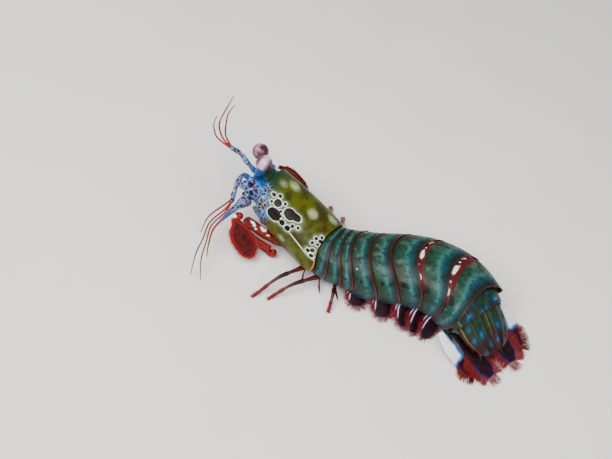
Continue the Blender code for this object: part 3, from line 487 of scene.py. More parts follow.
def plate_finish():
    """Body plates: dark green in front, a teal ridge, blue behind, red rear margin and their spots"""
    coat = Coat("plate_shell")
    look = coat.look
    share = coat.plus(coat.field("share"), coat.wobble(5.0, 0.22))
    coat.base = coat.ramp(share, ((0.1, look.green_dark), (0.34, look.green), (0.52, look.teal_dark),
                                  (0.66, look.teal), (0.78, look.blue), (0.92, look.green_dark)))
    low = coat.span(coat.field("side"), 0.8, 1.3)
    coat.over(coat.times(low, 0.5), look.blue_dark)
    coat.over(coat.times(coat.span(coat.noise(2.4, 3.0, 0.6), 0.48, 0.64), 0.75), look.green_dark)
    stain = coat.times(coat.span(coat.noise(4.2, 3.0, 0.6), 0.5, 0.62), coat.inside(share, 0.45, 0.2))
    coat.over(coat.times(stain, 0.85), look.stain)
    broken = coat.times(coat.span(coat.noise(2.6), 0.3, 0.7), 0.42)
    pale = coat.times(coat.span(coat.noise(3.4, 1.5), 0.6, 0.72), coat.field("fleck"))
    # Pale clouds: random pale flecks, and the pale patches, which are partly painted highlights
    for cloud in (pale, coat.field("patch")):
        coat.over(coat.times(cloud, broken), look.cloud)
    ripple = coat.wobble(1.3, 0.9, 2.0)
    ocellus, band, spot = (coat.plus(coat.field(key), ripple) for key in ("ocellus", "band", "spot"))
    coat.over(coat.inside(ocellus, 0.0, 0.3), look.black)
    coat.over(coat.inside(band, 0.0, 0.15), look.band)
    coat.over(coat.inside(spot, 0.25, 0.15), look.blue)
    coat.over(coat.inside(spot, 0.0, 0.12), look.white)
    edge = coat.mix(low, look.red_dark, look.orange)
    coat.over(coat.inside(coat.field("margin"), PLATE_MARGIN, 0.08), edge)
    return coat.finish(coat.grain(1.4), 0.1, (0.34, 0.5), 0.17)


def tail_finish():
    """Last somite and telson: dark green with blue spots, gold keels and red tips"""
    coat = Coat("tail_shell")
    look = coat.look
    coat.base = coat.ramp(coat.noise(3.6), ((0.3, look.green_dark), (0.46, look.tail_green),
                                            (0.58, look.green_dark), (0.68, look.stain)))
    redden = coat.field("redden")
    coat.over(coat.times(redden, 0.9), look.maroon)
    spot = coat.plus(coat.field("spot"), coat.wobble(1.4, 1.6, 2.0))
    for at, soft, colour in ((0.5, 0.5, look.blue_dark), (-0.2, 0.4, look.blue), (-1.1, 0.5, look.sky)):
        coat.over(coat.inside(spot, at, soft), colour)
    keel = coat.mix(redden, coat.mix(coat.field("gold"), look.lime, look.gold), look.red)
    coat.over(coat.inside(coat.field("keel"), KEEL_LINE, 0.12), keel)
    coat.over(coat.inside(coat.field("margin"), TAIL_MARGIN), look.red_dark)
    return coat.finish(coat.grain(1.0), specular=0.17)


def flesh_finish():
    """Soft body under the shell: maroon with redder folds"""
    coat = Coat("body_flesh")
    coat.base = coat.mix(coat.span(coat.noise(2.4), 0.4, 0.65), coat.look.maroon, coat.look.red_dark)
    return coat.finish(coat.noise(0.8, 4.0), 0.15, (0.4, 0.55))


def head_finish():
    """Head, stalks and limb bases: bright blue broken by a pale net with dark and red spots"""
    coat = Coat("head_shell")
    look = coat.look
    coat.base = coat.mix(coat.span(coat.noise(1.6, 2.5), 0.42, 0.6), look.head_blue, look.sky)
    coat.over(coat.span(coat.noise(2.1, 1.5), 0.58, 0.66), look.teal_dark)
    mosaic(coat, coat.field("net"))
    return coat.finish(coat.grain(0.8, 0.25), roughness=(0.25, 0.4))


def eye_finish():
    """A glossy eye: pale pink, partly a painted highlight, darker across the midband, purple rim toward the
    stalk
    """
    coat = Coat("eye_gloss")
    look = coat.look
    off = coat.plus(coat.field("band_place"), coat.wobble(2.6, 2.4, 2.0))
    coat.base = coat.ramp(coat.span(off, 0.3, 3.4), ((0.0, look.eye_pale), (0.4, look.eye_pink),
                                                     (0.95, look.eye_rim)))
    coat.over(coat.field("warm"), look.gold)
    lines = coat.calc("PINGPONG", coat.field("band"), 0.12)
    stripe = coat.times(coat.inside(coat.field("band_place"), 0.36, 0.06), coat.span(lines, 0.02, 0.1))
    coat.over(coat.times(stripe, 0.35), look.eye_rim)
    coat.over(coat.span(coat.field("turn"), 0.42, 0.74), look.eye_rim)
    wear = coat.span(coat.noise(1.0), 0.3, 0.7, 0.12, 0.22)
    return coat.finish(coat.cells(0.16), 0.015, specular=0.5, wear=wear, strength=0.6)


def limb_finish(name, colours, net=False, pale=False, blots=0.45):
    """A jointed limb: its colours mottled by noise along it, dark at each joint"""
    coat = Coat(name)
    look = coat.look
    place = coat.plus(coat.field("share"), coat.wobble(1.6, 0.25))
    coat.base = coat.ramp(place, [(k / (len(colours) - 1), colour) for k, colour in enumerate(colours)])
    coat.over(coat.times(coat.span(coat.noise(1.1, 3.0, 0.6), 0.55, 0.7), blots), look.maroon)
    if net:
        mosaic(coat, coat.field("net"), 1.8)
    coat.over(coat.field("joint"), look.joint)
    if pale:
        ripple = coat.wobble(1.0, 1.6, 2.0)
        thread = coat.plus(coat.field("stripe"), coat.times(ripple, 0.4))
        coat.over(coat.times(coat.inside(thread, GOLD_LINE), 0.7), look.gold)
        coat.over(coat.inside(coat.plus(coat.field("pale"), ripple), 0.0, 0.15), look.white)
    return coat.finish(coat.grain(0.8, 0.22), 0.08)


def leaf_finish(name, centre, rim, veins, rim_width, rim_from=-1.0, pale_edge=0.0, pale_root=0.0):
    """A thin paddle or leaf: centre colour, a coloured rim from a share of its length on, and ribs"""
    coat = Coat(name)
    wobble = coat.wobble(1.2, 0.8)
    coat.base = coat.mix(coat.span(coat.noise(1.8), 0.4, 0.65), centre, veins)
    edge = coat.plus(coat.field("edge"), wobble)
    share = coat.field("share")
    reached = coat.span(share, rim_from, rim_from + 0.25)
    coat.over(coat.times(coat.inside(edge, rim_width, 0.4), reached), rim)
    if pale_edge:
        ahead = coat.times(coat.span(coat.field("side"), -0.2, 0.2), pale_edge)
        streak = coat.times(coat.inside(edge, 0.4, 0.2), ahead)
        coat.over(coat.times(streak, coat.inside(share, 0.7)), coat.look.gill)
    if pale_root:
        coat.over(coat.inside(share, pale_root, 0.02), coat.look.white)
    ribs = coat.calc("PINGPONG", coat.field("across"), 0.35)
    height = coat.plus(ribs, coat.times(coat.noise(0.6), 0.5))
    return coat.finish(height, roughness=(0.35, 0.5), specular=0.14)


def bristle_finish(name, root, tip):
    """Fringe bristles: root colour running to the tip's, roughness up toward the tips"""
    coat = Coat(name)
    reach = coat.field("tip")
    coat.base = coat.mix(coat.plus(coat.times(coat.noise(1.5), 0.5), reach), root, tip)
    wear = coat.span(reach, 0.0, 1.0, 0.35, 0.6)
    return coat.finish(coat.noise(0.3), 0.02, specular=0.5, wear=wear, strength=0.5)


def outer_paddle_finish():
    """White base with a sky-blue inner edge, running to the maroon paddle"""
    coat = Coat("outer_paddle")
    look = coat.look
    wobble = coat.wobble(2.4, 0.12)
    place = coat.plus(coat.field("share"), wobble)
    blue = coat.inside(coat.plus(coat.field("side"), coat.times(wobble, 3.0)), -0.5, 0.25)
    coat.base = coat.mix(blue, look.white, look.sky)
    coat.over(coat.span(place, 0.52, 0.6), look.sky)
    coat.over(coat.span(place, 0.58, 0.64), look.maroon)
    border = coat.inside(coat.field("edge"), 0.35, 0.25)
    coat.over(coat.times(coat.span(place, 0.62, 0.7), border), look.red_dark)
    return coat.finish(coat.grain(1.0, 0.3), 0.1, (0.28, 0.4))


def floor_finish():
    """Plain pale matt board"""
    coat = Coat("pale_floor")
    pale = coat.look.floor
    base = coat.mix(coat.span(coat.noise(60.0, 2.0), 0.3, 0.7), pale, tuple(0.97 * value for value in pale))
    coat.tree.links.new(base, coat.shader.inputs["Base Color"])
    coat.shader.inputs["Roughness"].default_value = 0.85
    coat.shader.inputs["Specular IOR Level"].default_value = 0.15
    return coat.material


# Shell plates

def mirrored(line, sign=1.0):
    """A line that runs outward from the middle, as one from left to right with its right side x sign"""
    return np.concatenate((line[::-1], sign * line[1:]))


def walked(across, up):
    """Distance of each point of a line from its first, along it"""
    return np.concatenate(((0.0,), np.cumsum(np.hypot(np.diff(across), np.diff(up)))))


def swept(across):
    """How far a margin sweeps back toward the sides, as the square of the distance out"""
    return MARGIN_SWEEP * (np.abs(across) / SWEEP_WIDTH) ** 2


class Shell:
    """Rings of a hollow plate, each its outer line from left to right, then its inner line back"""

    def __init__(self):
        self.rings = []
        self.fields = {}

    def add(self, outer, inner):
        """One ring, from the world points of its two lines"""
        self.rings.append(np.vstack((outer, inner[::-1])))

    def add_section(self, along, section, sweep=1.0, reach=0.0):
        """One ring from a plate's section, its margin swept back and its outer line reaching back"""
        across, over, inner, under = section[:4]
        self.add(body_points(along + reach + sweep * swept(across), across, over),
                 body_points(along + sweep * swept(inner), inner, under))

    def mark(self, under, **values):
        """Fields of the last ring: values on its outer line, and under on its inner, or both alike"""
        count = len(self.rings[-1]) // 2
        for key, value in values.items():
            value = np.broadcast_to(value, count)
            back = value[::-1] if under is None else np.full(count, under)
            self.fields.setdefault(key, []).append(np.concatenate((value, back)))

    def skin(self, **more):
        """The closed skin with its fields, and more that are given for all of it"""
        return loft(self.rings, **{key: np.array(value) for key, value in self.fields.items()}, **more)


def plate_section(half, back, pleura, lower=0.0, keels=()):
    """Outer and inner outline of a plate from the left tip over the back to the right, and its arc.

    The back is 0.5 + (back - 0.5)(1 - size^2.35)^0.475 for size = sine of a quarter turn, the side
    drops from there to the pleura's tip drawing in by size^3, and the inner line follows the belly.
    """
    size = np.sin(np.linspace(0.0, 0.5 * math.pi, 41))
    over = 0.5 + (back - lower - 0.5) * np.maximum(1.0 - size ** 2.35, 0.0) ** 0.475
    for place, height, width in keels:
        over = over + height * np.exp(-((size - place) / width) ** 2)
    drop = np.linspace(0.0, 1.0, 13)[1:]
    size = np.concatenate((size, 1.0 - 0.07 * drop ** 3))
    over = np.concatenate((over, 0.5 - (pleura + 0.5) * drop))
    under_size = 0.93 * smooth(np.linspace(0.0, 1.0, len(size))) ** 0.8
    depths = (BELLY_DEPTH, BELLY_DEPTH, BELLY_DEPTH + 0.4, 0.93 * pleura, pleura)
    under = -np.interp(under_size, (0.0, 0.66, 0.73, 0.84, 0.93), depths)
    half = half - lower
    across, inner = (mirrored(line, -1.0) * half for line in (size, under_size))
    return across, mirrored(over), inner, mirrored(under), mirrored(walked(size * half, over), -1.0)


def plate_rows(length, lip):
    """Shares of a plate's length, how far each row sinks, and how far it reaches back.

    The front row sinks 0.7 mm and rises over 2.4 mm; the rear margin is a bead of 0.2 mm that
    overhangs by the lip, then turns in under itself by 0.4 mm.
    """
    share = np.linspace(0.0, 1.0, 45)
    sunk = 0.7 * (1.0 - smooth(share * length / 2.4)) - 0.2 * np.exp(-((share - 1.0) * length / 0.55) ** 2)
    reach = lip * smooth((share - 0.8) / 0.2)
    share = np.concatenate((share, (1.0, 1.0, 0.97)))
    sunk = np.concatenate((sunk, (-0.05, 0.28, 0.4)))
    reach = np.concatenate((reach, (lip + 0.1, lip, 0.0)))
    return share, sunk, reach


def ellipse_distance(along, arc, marks):
    """Least over the marks of (length of the place scaled to a unit circle - 1) times the radius.

    A mark is (along, arc, half-length, half-width, turn in degrees).
    """
    best = np.full(np.broadcast(along, arc).shape, FAR)
    for at, side, long, wide, turn in marks:
        cosine, sine = math.cos(math.radians(turn)), math.sin(math.radians(turn))
        x = ((along - at) * cosine + (arc - side) * sine) / long
        y = ((arc - side) * cosine - (along - at) * sine) / wide
        best = np.minimum(best, (np.hypot(x, y) - 1.0) * min(long, wide))
    return best


def both(marks):
    """The marks, and the same ones on the right side"""
    return marks + tuple((at, -side, long, wide, -turn) for at, side, long, wide, turn in marks)


# Marks on the plates: name, then (share of length, arc in mm, half-length, half-width, turn)
PLATE_SPOTS = {
    "abdomen_1": both(((0.35, 11.0, 0.25, 0.25, 0),)),
    "abdomen_4": ((0.06, -9.8, 0.5, 1.3, 0), (0.1, -4.9, 0.35, 0.6, 0), (0.11, -0.6, 0.8, 2.5, -6),
                  (0.05, 4.9, 0.35, 0.7, 0), (0.05, 10.9, 0.6, 1.8, 0),
                  (0.05, -15.0, 0.4, 1.2, 0)),
    "abdomen_5": ((0.05, -8.7, 0.6, 1.5, 0), (0.09, -4.8, 0.4, 0.5, 0), (0.12, 0.6, 0.95, 3.0, 6),
                  (0.09, 7.0, 0.35, 0.6, 0), (0.06, 11.5, 0.85, 1.8, 0), (0.05, -13.5, 0.4, 1.2, 0)),
}
PLATE_BANDS = {
    "abdomen_4": both(((0.08, 0.0, 2.0, 8.5, 0), (0.07, 8.5, 1.7, 6.0, 0), (0.07, 13.8, 1.1, 3.0, 0))),
    "abdomen_5": both(((0.1, 0.0, 2.8, 9.0, 0), (0.09, 7.5, 2.6, 6.0, 0), (0.06, 12.5, 1.6, 3.0, 0))),
}
PLATE_OCELLI = {
    "abdomen_1": both(((0.45, 16.4, 0.6, 0.8, 0),)),
    "abdomen_2": both(((0.4, 16.2, 0.8, 1.1, 10),)),
    "abdomen_3": both(((0.35, 16.0, 1.3, 1.5, 10),)),
    "abdomen_4": both(((0.2, 15.3, 1.9, 2.3, 15),)),
    "abdomen_5": both(((0.3, 13.6, 2.2, 1.9, 30),)),
}
# Pale patches, partly painted highlights, and the yellow-green and blue spots behind the last ocellus
PLATE_HIGHLIGHTS_AND_SPOTS = {
    "abdomen_1": both(((0.4, 4.0, 1.4, 1.2, 0),)),
    "abdomen_2": both(((0.45, 8.5, 1.6, 1.3, 20), (0.35, 2.5, 0.9, 0.8, 0))),
    "abdomen_3": both(((0.4, 5.5, 1.5, 1.2, 0), (0.4, 14.0, 1.2, 1.0, 0))),
    "abdomen_4": both(((0.36, 6.7, 1.9, 1.4, 10), (0.5, 12.5, 1.5, 1.2, 0))),
    "abdomen_5": both(((0.36, 7.6, 1.8, 1.5, 0), (0.16, 10.6, 1.2, 0.8, 20), (0.64, 13.7, 1.3, 1.3, 0))),
}


PLATE_MARKS = {"spot": PLATE_SPOTS, "band": PLATE_BANDS, "ocellus": PLATE_OCELLI, "patch": PLATE_HIGHLIGHTS_AND_SPOTS}
PLATE_ROUNDING = 0.22


def at_length(marks, length):
    """Marks whose place is a share of the length, with that place in mm"""
    return [(share * length, *rest) for share, *rest in marks]


def make_plate(row, start, finish):
    """One somite: a shell plate with its lip, its side plates and belly, in one closed skin"""
    name, length, front, rear, back = row[:5]
    pleura = THORAX_PLEURA_DEPTH if name.startswith("thorax") else PLEURA_DEPTH
    lip = min(LIP, 0.12 * length)
    shell = Shell()
    for share, low, reach in zip(*plate_rows(length, lip)):
        rounding = 1.0 - PLATE_ROUNDING * abs(2.0 * share - 1.0) ** 3
        half = front + (rear - front) * share
        section = plate_section(half, back, pleura * rounding, low)
        across, over, _, _, arc = section
        shell.add_section(start + 0.5 * GAP + share * (length - GAP), section, reach=reach)
        side = np.abs(across) / half + np.maximum(0.5 - over, 0.0) / pleura * 0.4
        shell.mark(None, share=share, side=side, along=share * length + reach, arc=arc)
        low_edge = (np.abs(arc).max() - np.abs(arc)) * 1.2
        shell.mark(FAR, margin=np.minimum(length - share * length - reach + lip, low_edge + 0.25))
    along, arc = (np.array(shell.fields.pop(key)) for key in ("along", "arc"))
    marks = {key: ellipse_distance(along, arc, at_length(table.get(name, ()), length))
             for key, table in PLATE_MARKS.items()}
    # The pale patches' mask, partly painted highlights
    marks["patch"] = np.clip(0.5 - 0.5 * marks["patch"], 0.0, 1.0)
    fleck = smooth((along / length - 0.1) / 0.2) * smooth((0.9 - along / length) / 0.2)
    make_piece("plate_" + name, shell.skin(fleck=fleck, **marks), finish, (name,))


# Last somite and telson: each keel is (share of the half-width, height), each spine (reach, root, height)
KEELS = ((0.22, 0.5), (0.64, 0.5), (0.92, 0.4))
LAST_SPINES = ((1.6, 1.8, 7.2), (1.8, 1.8, 6.2), (1.8, 1.8, 2.4))
LAST_SPOTS = ((0.9, 1.6, 1.4, 1.3, 0), (0.75, 8.8, 2.5, 2.0, 20), (0.6, 14.4, 1.5, 1.2, 0),
              (0.3, 5.0, 0.8, 0.7, 0))
LAST_PLEURA_DEPTH = 4.6
LAST_SPINE_RADIUS = 0.75
TAIL_SWEEP = 0.25
TELSON_TOP = 5.6
TELSON_FALL = 4.2
TELSON_RIM_DEPTH = 2.0
TELSON_UNDERSIDE = -2.2
TELSON_RISE = 0.9
TELSON_SPOTS = ((8.3, 5.8, 2.1, 1.5, 10), (8.6, 10.5, 1.6, 1.2, 10), (14.2, 2.6, 1.5, 1.1, 10),
                (16.6, 7.3, 1.1, 0.9, 0), (3.0, 11.2, 1.1, 0.9, 0))


def cone(base, tip, radius):
    """A spine: rings shrinking from radius to a fine point along a straight line"""
    way = tip - base
    across = np.zeros(3)
    across[int(np.argmin(np.abs(way)))] = 1.0
    size = (radius, 0.9 * radius, 0.55 * radius, 0.12 * radius)
    rings, share = limb_rings((base, 0.5 * (base + tip), tip), size, size, across, oval_section(12), 14,
                              rounded=False)
    return loft(rings, spot=FAR, keel=0.25, gold=0.6, redden=smooth(share * 1.6 - 0.4)[:, None], margin=FAR)


def keel_distance(across, half, places):
    """Distance in mm from the nearest keel, across the plate"""
    size = np.abs(across) / half
    return np.min([np.abs(size - place) * half for place in places], axis=0)


def make_last_somite(row, start, finish):
    """The sixth somite of the abdomen: six keels that rise backward and end in spines"""
    name, length, front, rear, back = row[:5]
    shares = np.concatenate((np.linspace(0.0, 1.0, 41), (1.0, 0.99)))
    sunk = np.concatenate((0.6 * (1.0 - smooth(shares[:41] * length / 2.2)), (0.25, 0.4)))
    places = [place for place, _ in KEELS]
    spots = at_length(LAST_SPOTS, length)
    shell = Shell()
    for share, low in zip(shares, sunk):
        keels = [(place, 1.2 * height * share, 0.03) for place, height in KEELS]
        half = front + (rear - front) * share
        section = plate_section(half, back * (1.0 - 0.2 * share), LAST_PLEURA_DEPTH, low, keels)
        sweep = 1.0 - (1.0 - TAIL_SWEEP) * share
        shell.add_section(start + 0.5 * GAP + share * (length - GAP), section, sweep)
        keel = keel_distance(section[0], half, places) + 3.0 * max(0.25 - share, 0.0)
        spot = ellipse_distance(share * length, np.abs(section[4]), spots)
        shell.mark(FAR, spot=spot, keel=keel, margin=(1.0 - share) * length)
    parts = [shell.skin(gold=0.0, redden=0.0)]
    for sign in SIDES.values():
        for place, (reach, rooted, high) in zip(places, LAST_SPINES):
            left = sign * place * rear * 0.97
            margin = start + length + TAIL_SWEEP * swept(left)
            tip = body_points(margin + reach, left, high + 0.5)
            parts.append(cone(body_points(margin - rooted, left, high), tip, LAST_SPINE_RADIUS))
    make_piece("plate_" + name, merged(parts), finish, (name,))


TELSON_TEETH = (
    (0.55, 1.0, 2.6, 1.6, 0.8),
    (0.8, 0.98, 3.4, 1.8, 0.9),
    (0.92, 0.45, 4.2, 0.2, 1.0),
)
TELSON_KEELS = (0.0, 0.22, 0.64, 0.97)
# How golden the telson's keels are, at parts of the half-width
GOLD_AT = (0.0, 0.1, 0.2, 0.64, 0.9)
GOLD = (0.9, 0.9, 0.1, 0.3, 1.0)


def telson_half(share):
    """Half-width of the telson, narrowing as share^2.6"""
    return TELSON_HALF_WIDTH * (1.0 - 0.5 * share ** 2.6)


def telson_point(share, part):
    """A point on the telson's side margin, or inside it for a part of the half-width below one"""
    left = part * telson_half(share)
    along = BODY_LENGTH + 0.5 * GAP + share * TELSON_LENGTH + TAIL_SWEEP * swept(left)
    return body_points(along, left, 0.4 - 0.9 * share)


def make_telson(finish):
    """The telson: a low arched plate with a high middle keel, side keels and teeth"""
    shares = np.linspace(0.0, 1.0, 57)
    keels = [(place, 0.55 if place else 0.8, 0.035) for place in TELSON_KEELS[:3]]
    shell = Shell()
    for share in shares:
        tip_round = 1.0 - 0.25 * smooth((share - 0.93) / 0.07)
        half = telson_half(share) * (0.97 if share == 0.0 else 1.0) * (0.4 + 0.6 * tip_round)
        high = (TELSON_TOP - TELSON_FALL * share) * tip_round
        across, over, inner, under, arc = plate_section(half, high, TELSON_RIM_DEPTH, 0.0, keels)
        over, under = (np.maximum(value, TELSON_UNDERSIDE + TELSON_RISE * share) for value in (over, under))
        along = BODY_LENGTH + 0.5 * GAP + share * TELSON_LENGTH
        shell.add_section(along, (across, over, inner, under), TAIL_SWEEP)
        spot = ellipse_distance(share * TELSON_LENGTH, np.abs(arc), TELSON_SPOTS)
        gold = np.interp(np.abs(across) / half, GOLD_AT, GOLD)
        shell.mark(FAR, spot=spot, keel=keel_distance(across, half, TELSON_KEELS), margin=FAR, gold=gold)
    parts = [shell.skin(redden=smooth((shares - 0.25) * 1.7)[:, None])]
    forward, lateral, _ = directions(BODY_LENGTH)
    for sign in SIDES.values():
        for place, part, back, aside, radius in TELSON_TEETH:
            base = telson_point(place, sign * (part - 0.14))
            parts.append(cone(base, base - forward * back + sign * lateral * aside, radius))
        for part in np.linspace(0.05, 0.38, 6):
            base = telson_point(0.97, sign * part)
            parts.append(cone(base, base - forward * 1.5, 0.3))
    make_piece("telson_plate", merged(parts), finish, ("telson",))


def carapace_half(along):
    """Half-width of the carapace, narrowing forward as share^1.3"""
    share = np.clip(-along / CARAPACE_LENGTH, 0.0, 1.0)
    return CARAPACE_HALF_REAR + (CARAPACE_HALF_FRONT - CARAPACE_HALF_REAR) * share ** 1.3


def arch(half, top, depth, angles):
    """Arch of sine^0.85 across and cosine^0.95 up, run on below its widest line to ARCH_END"""
    across = half * np.sign(np.sin(angles)) * np.abs(np.sin(angles)) ** 0.85
    cosine = np.cos(angles)
    up = np.where(cosine > 0, top * np.abs(cosine) ** 0.95, depth * cosine / -math.cos(ARCH_END))
    return across, up


# Brown cells and pale blotches of the carapace: (along, arc, half-length, half-width, turn)
CARAPACE_CELLS = (
    (-23.6, 12.9, 3.5, 2.6, 4), (-18.3, 7.7, 3.0, 2.4, 0), (-15.4, 6.7, 2.6, 1.6, -10),
    (-25.9, 8.0, 1.8, 1.7, 0),
    (-30.0, 6.4, 0.9, 0.8, 0), (-27.4, 4.9, 0.8, 0.7, 0), (-23.2, 5.9, 0.65, 0.6, 0),
    (-18.1, 12.9, 1.3, 1.1, 0), (-13.5, 10.6, 0.85, 0.8, 0), (-11.1, 9.3, 0.75, 0.65, 0),
    (-14.5, 12.9, 1.3, 1.1, 0), (-22.2, 9.7, 0.5, 0.45, 0), (-28.6, 9.4, 0.6, 0.6, 0),
    (-20.6, 11.2, 0.4, 0.4, 0), (-1.9, 6.1, 0.8, 0.7, 0), (-0.5, 3.7, 0.7, 0.6, 0),
    (0.4, 5.6, 0.95, 0.8, 0), (0.6, 7.6, 0.6, 0.6, 0), (-1.6, 8.7, 0.7, 0.7, 0),
    (0.9, 11.1, 0.75, 0.8, 0), (-0.4, 12.5, 0.8, 0.6, 0), (1.9, 13.3, 0.6, 0.5, 0),
)
CARAPACE_BLOTCHES = (
    (-25.8, -4.9, 2.3, 2.0, 0), (-11.2, -0.9, 2.1, 2.0, 0), (-3.1, -7.9, 2.0, 1.5, 0),
    (-30.5, -1.2, 1.6, 1.3, 0), (-13.0, 20.0, 1.3, 1.0, 0), (-0.2, 25.0, 1.8, 1.4, 0),
    (-16.0, -13.0, 1.8, 1.5, 0), (-13.0, -20.0, 1.3, 1.0, 0), (-0.2, -25.0, 1.8, 1.4, 0),
)
# On the right side the cells lie lower on the flank
FAR_CELLS = tuple((at, -side - 6.0, long, wide, -turn) for at, side, long, wide, turn in CARAPACE_CELLS
                  if side > 7.0)


def groove_distance(angles, arc, size, up):
    """Distance in mm from the groove on either side, across the carapace"""
    left_top = (angles >= 0.0) & (up >= 0.0)
    return np.abs(np.abs(arc) - np.interp(GROOVE_AT, size[left_top], arc[left_top]))


def front_marks(share, arc):
    """How far the colour of the front and its net have come in, at a share of the length"""
    front = smooth((share - 0.72) / 0.28) * smooth((12.0 - np.abs(arc)) / 5.0)
    flank = np.where(arc > 0.0, arc, -arc - 7.0)
    net_from = share - 0.88 + 0.2 * smooth((flank - 7.0) / 6.0)
    return front, smooth(net_from / 0.08) * smooth((flank - 3.0) / 2.0)


def make_carapace(finish):
    """The carapace: an arched shell with a groove down each side and thin rolled rims"""
    angles = ARCH_END * np.linspace(-1.0, 1.0, 145)
    shares = 0.5 - 0.5 * np.cos(np.linspace(0.0, math.pi, 121))
    shares = 0.5 * shares + 0.5 * np.linspace(0.0, 1.0, 121)
    shell = Shell()
    for share in shares:
        along = GAP - share * (CARAPACE_LENGTH + GAP)
        half = carapace_half(along)
        top = CARAPACE_TOP - CARAPACE_FALL * share
        depth = CARAPACE_SIDE_DEPTH * (1.0 - 0.35 * abs(2.0 * share - 1.0) ** 5)
        across, up = arch(half, top, depth, angles)
        size = np.abs(across) / half
        walk = walked(across, up)
        arc = walk - 0.5 * walk[-1]
        dip = GROOVE_DEPTH * np.exp(-((size - GROOVE_AT) / 0.035) ** 2) * (up > 0)
        from_side = walk[-1] * 0.5 - np.abs(arc)
        from_rim = np.minimum(min(share, 1.0 - share) * CARAPACE_LENGTH, from_side)
        thick = RIM_THICKNESS + (SHELL - RIM_THICKNESS) * smooth(from_rim / 2.5)
        roll = 0.12 * np.exp(-((from_rim - 0.35) / 0.4) ** 2)
        out_across, out_up = arch(half + roll, top + roll, depth, angles)
        in_across, in_up = arch(half - thick, top - thick, depth, angles)
        place = along + swept(across) * (1.0 - share) + 3.0 * size ** 2 * share ** 4
        shell.add(body_points(place, out_across, out_up - dip), body_points(place, in_across, in_up))
        shell.mark(FAR, cells=ellipse_distance(place, arc, CARAPACE_CELLS + FAR_CELLS),
                   line=groove_distance(angles, arc, size, up) + FAR * (share > 0.75),
                   rim=from_rim + FAR * (share > 0.85) + FAR * (size < 0.86) * (up > 0.0))
        blotch = 0.55 - 0.45 * ellipse_distance(place, arc, CARAPACE_BLOTCHES)
        front, net = front_marks(share, arc)
        shell.mark(0.0, blotch=np.clip(blotch, 0.0, 1.0), front=front, net=net)
    make_piece("carapace_shield", shell.skin(), finish, ("carapace",))


def make_rostrum(finish):
    """The rostral plate: a rounded triangle hinged in front of the carapace"""
    points = body_points((-36.2, -38.0, -40.0), 0.0, (8.6, 8.5, 8.2))
    left = directions(-38.0)[1]
    rings, share = limb_rings(points, (4.2, 4.0, 3.0, 0.9), (0.45, 0.5, 0.45, 0.3), left,
                              oval_section(32, 0.7), 33)
    part = loft(rings, cells=FAR, blotch=0.0, front=0.9, line=FAR, rim=FAR, net=smooth(share - 0.5)[:, None])
    make_piece("rostral_plate", part, finish, ("rostrum",))


def core_section(along, cosine, sine):
    """World points round the flesh under the carapace, for the cosines and sines given"""
    share = min(1.0, -along / CARAPACE_LENGTH)
    beyond = max(0.0, (-CARAPACE_LENGTH - along) / (-CARAPACE_LENGTH - HEAD_FRONT))
    half = (carapace_half(along) - SHELL - CORE_SIDE_GAP) * (1.0 - 0.5 * beyond ** 1.5)
    top = CARAPACE_TOP - CARAPACE_FALL * share - SHELL - GAP
    top = top * (1.0 - 0.3 * min(1.0, 3.0 * beyond) - 0.15 * beyond)
    deep = CORE_DEPTH - 2.5 * beyond
    across = half * np.sign(cosine) * np.abs(cosine) ** 0.85
    up = np.where(sine > 0, top, deep) * np.sign(sine) * np.abs(sine) ** 0.9
    return body_points(along + swept(across) * (1.0 - share), across, up)


def core_root(along, angle, sign):
    """A point the gap clear of that flesh, and the way straight out; angle in degrees above the side"""
    turns = np.radians(angle + np.array((-2.0, 0.0, 2.0)))
    ring = core_section(along, sign * np.cos(turns), np.sin(turns))
    ahead = core_section(along - 0.5, sign * np.cos(turns), np.sin(turns))
    way = unit(np.cross(ring[2] - ring[0], ahead[1] - ring[1]) * sign)
    return ring[1] + way * GAP, way


def belly_root(along, left):
    """A point the gap below a somite's belly, and the way down"""
    down = -directions(along)[2]
    return body_points(along, left, -BELLY_DEPTH - GAP), down


# Lobes at the roots of the feelers: along, angle in degrees above the side, reach and radius
HEAD_LOBES = ((-41.7, 30.0, 3.2, 1.7), (-41.3, -4.0, 5.4, 2.1), (-39.3, 12.0, 3.8, 1.9),
              (-38.4, -18.0, 4.6, 2.0))


def make_lobes(side, head):
    """Rounded lobes at the roots of the feelers, swelling out of the head's side"""
    forward = directions(-40.0)[0]
    parts = []
    for along, angle, reach, radius in HEAD_LOBES:
        root, way = core_root(along, angle, SIDES[side])
        root = root - way * (GAP + 0.8)
        wide = tuple(radius * value for value in (0.9, 1.1, 1.0, 0.7))
        points = (root, root + way * 0.5 * reach, root + way * reach)
        rings, share = limb_rings(points, wide, wide, forward, oval_section(32), 32, way)
        rings = swollen(rings, 1.0 + 0.08 * np.sin(5.0 * math.pi * share))
        parts.append(loft(rings, net=smooth(share * 2.0)[:, None]))
    make_piece("head_lobes_" + side, merged(parts), head, ())


def make_core(head, flesh):
    """The flesh under the carapace, with the head's blue front rounded off"""
    section = oval_section(64)
    rear = [core_section(along, section[:, 0], section[:, 1])
            for along in np.linspace(-0.8 * GAP, HEAD_SPLIT + 0.5 * GAP, 40)]
    make_piece("thorax_flesh", loft(rear), flesh, ("thorax_front",))
    places = np.linspace(HEAD_SPLIT - 0.5 * GAP, HEAD_FRONT, 50)
    front = [core_section(along, section[:, 0], section[:, 1]) for along in places]
    net = smooth((places + 30.0) / -8.0)[:, None] * (section[:, 1] < 0.75)
    make_piece("head_front", loft(front, net=net), head, ("head",))


# Painted shade on the far eye: how far its rim colour spreads and its pale band narrows
FAR_EYE_PAINTED_SHADE = 0.16
# The way from the right eye's middle to the warm streak on it
WARM_WAY = np.array((-0.45, 0.67, 0.59))
EYES = {
    "l": (-41.2, 66.0, (-42.7, 3.5, 16.8)),
    "r": (-41.2, 66.0, (-47.6, -3.8, 11.6)),
}


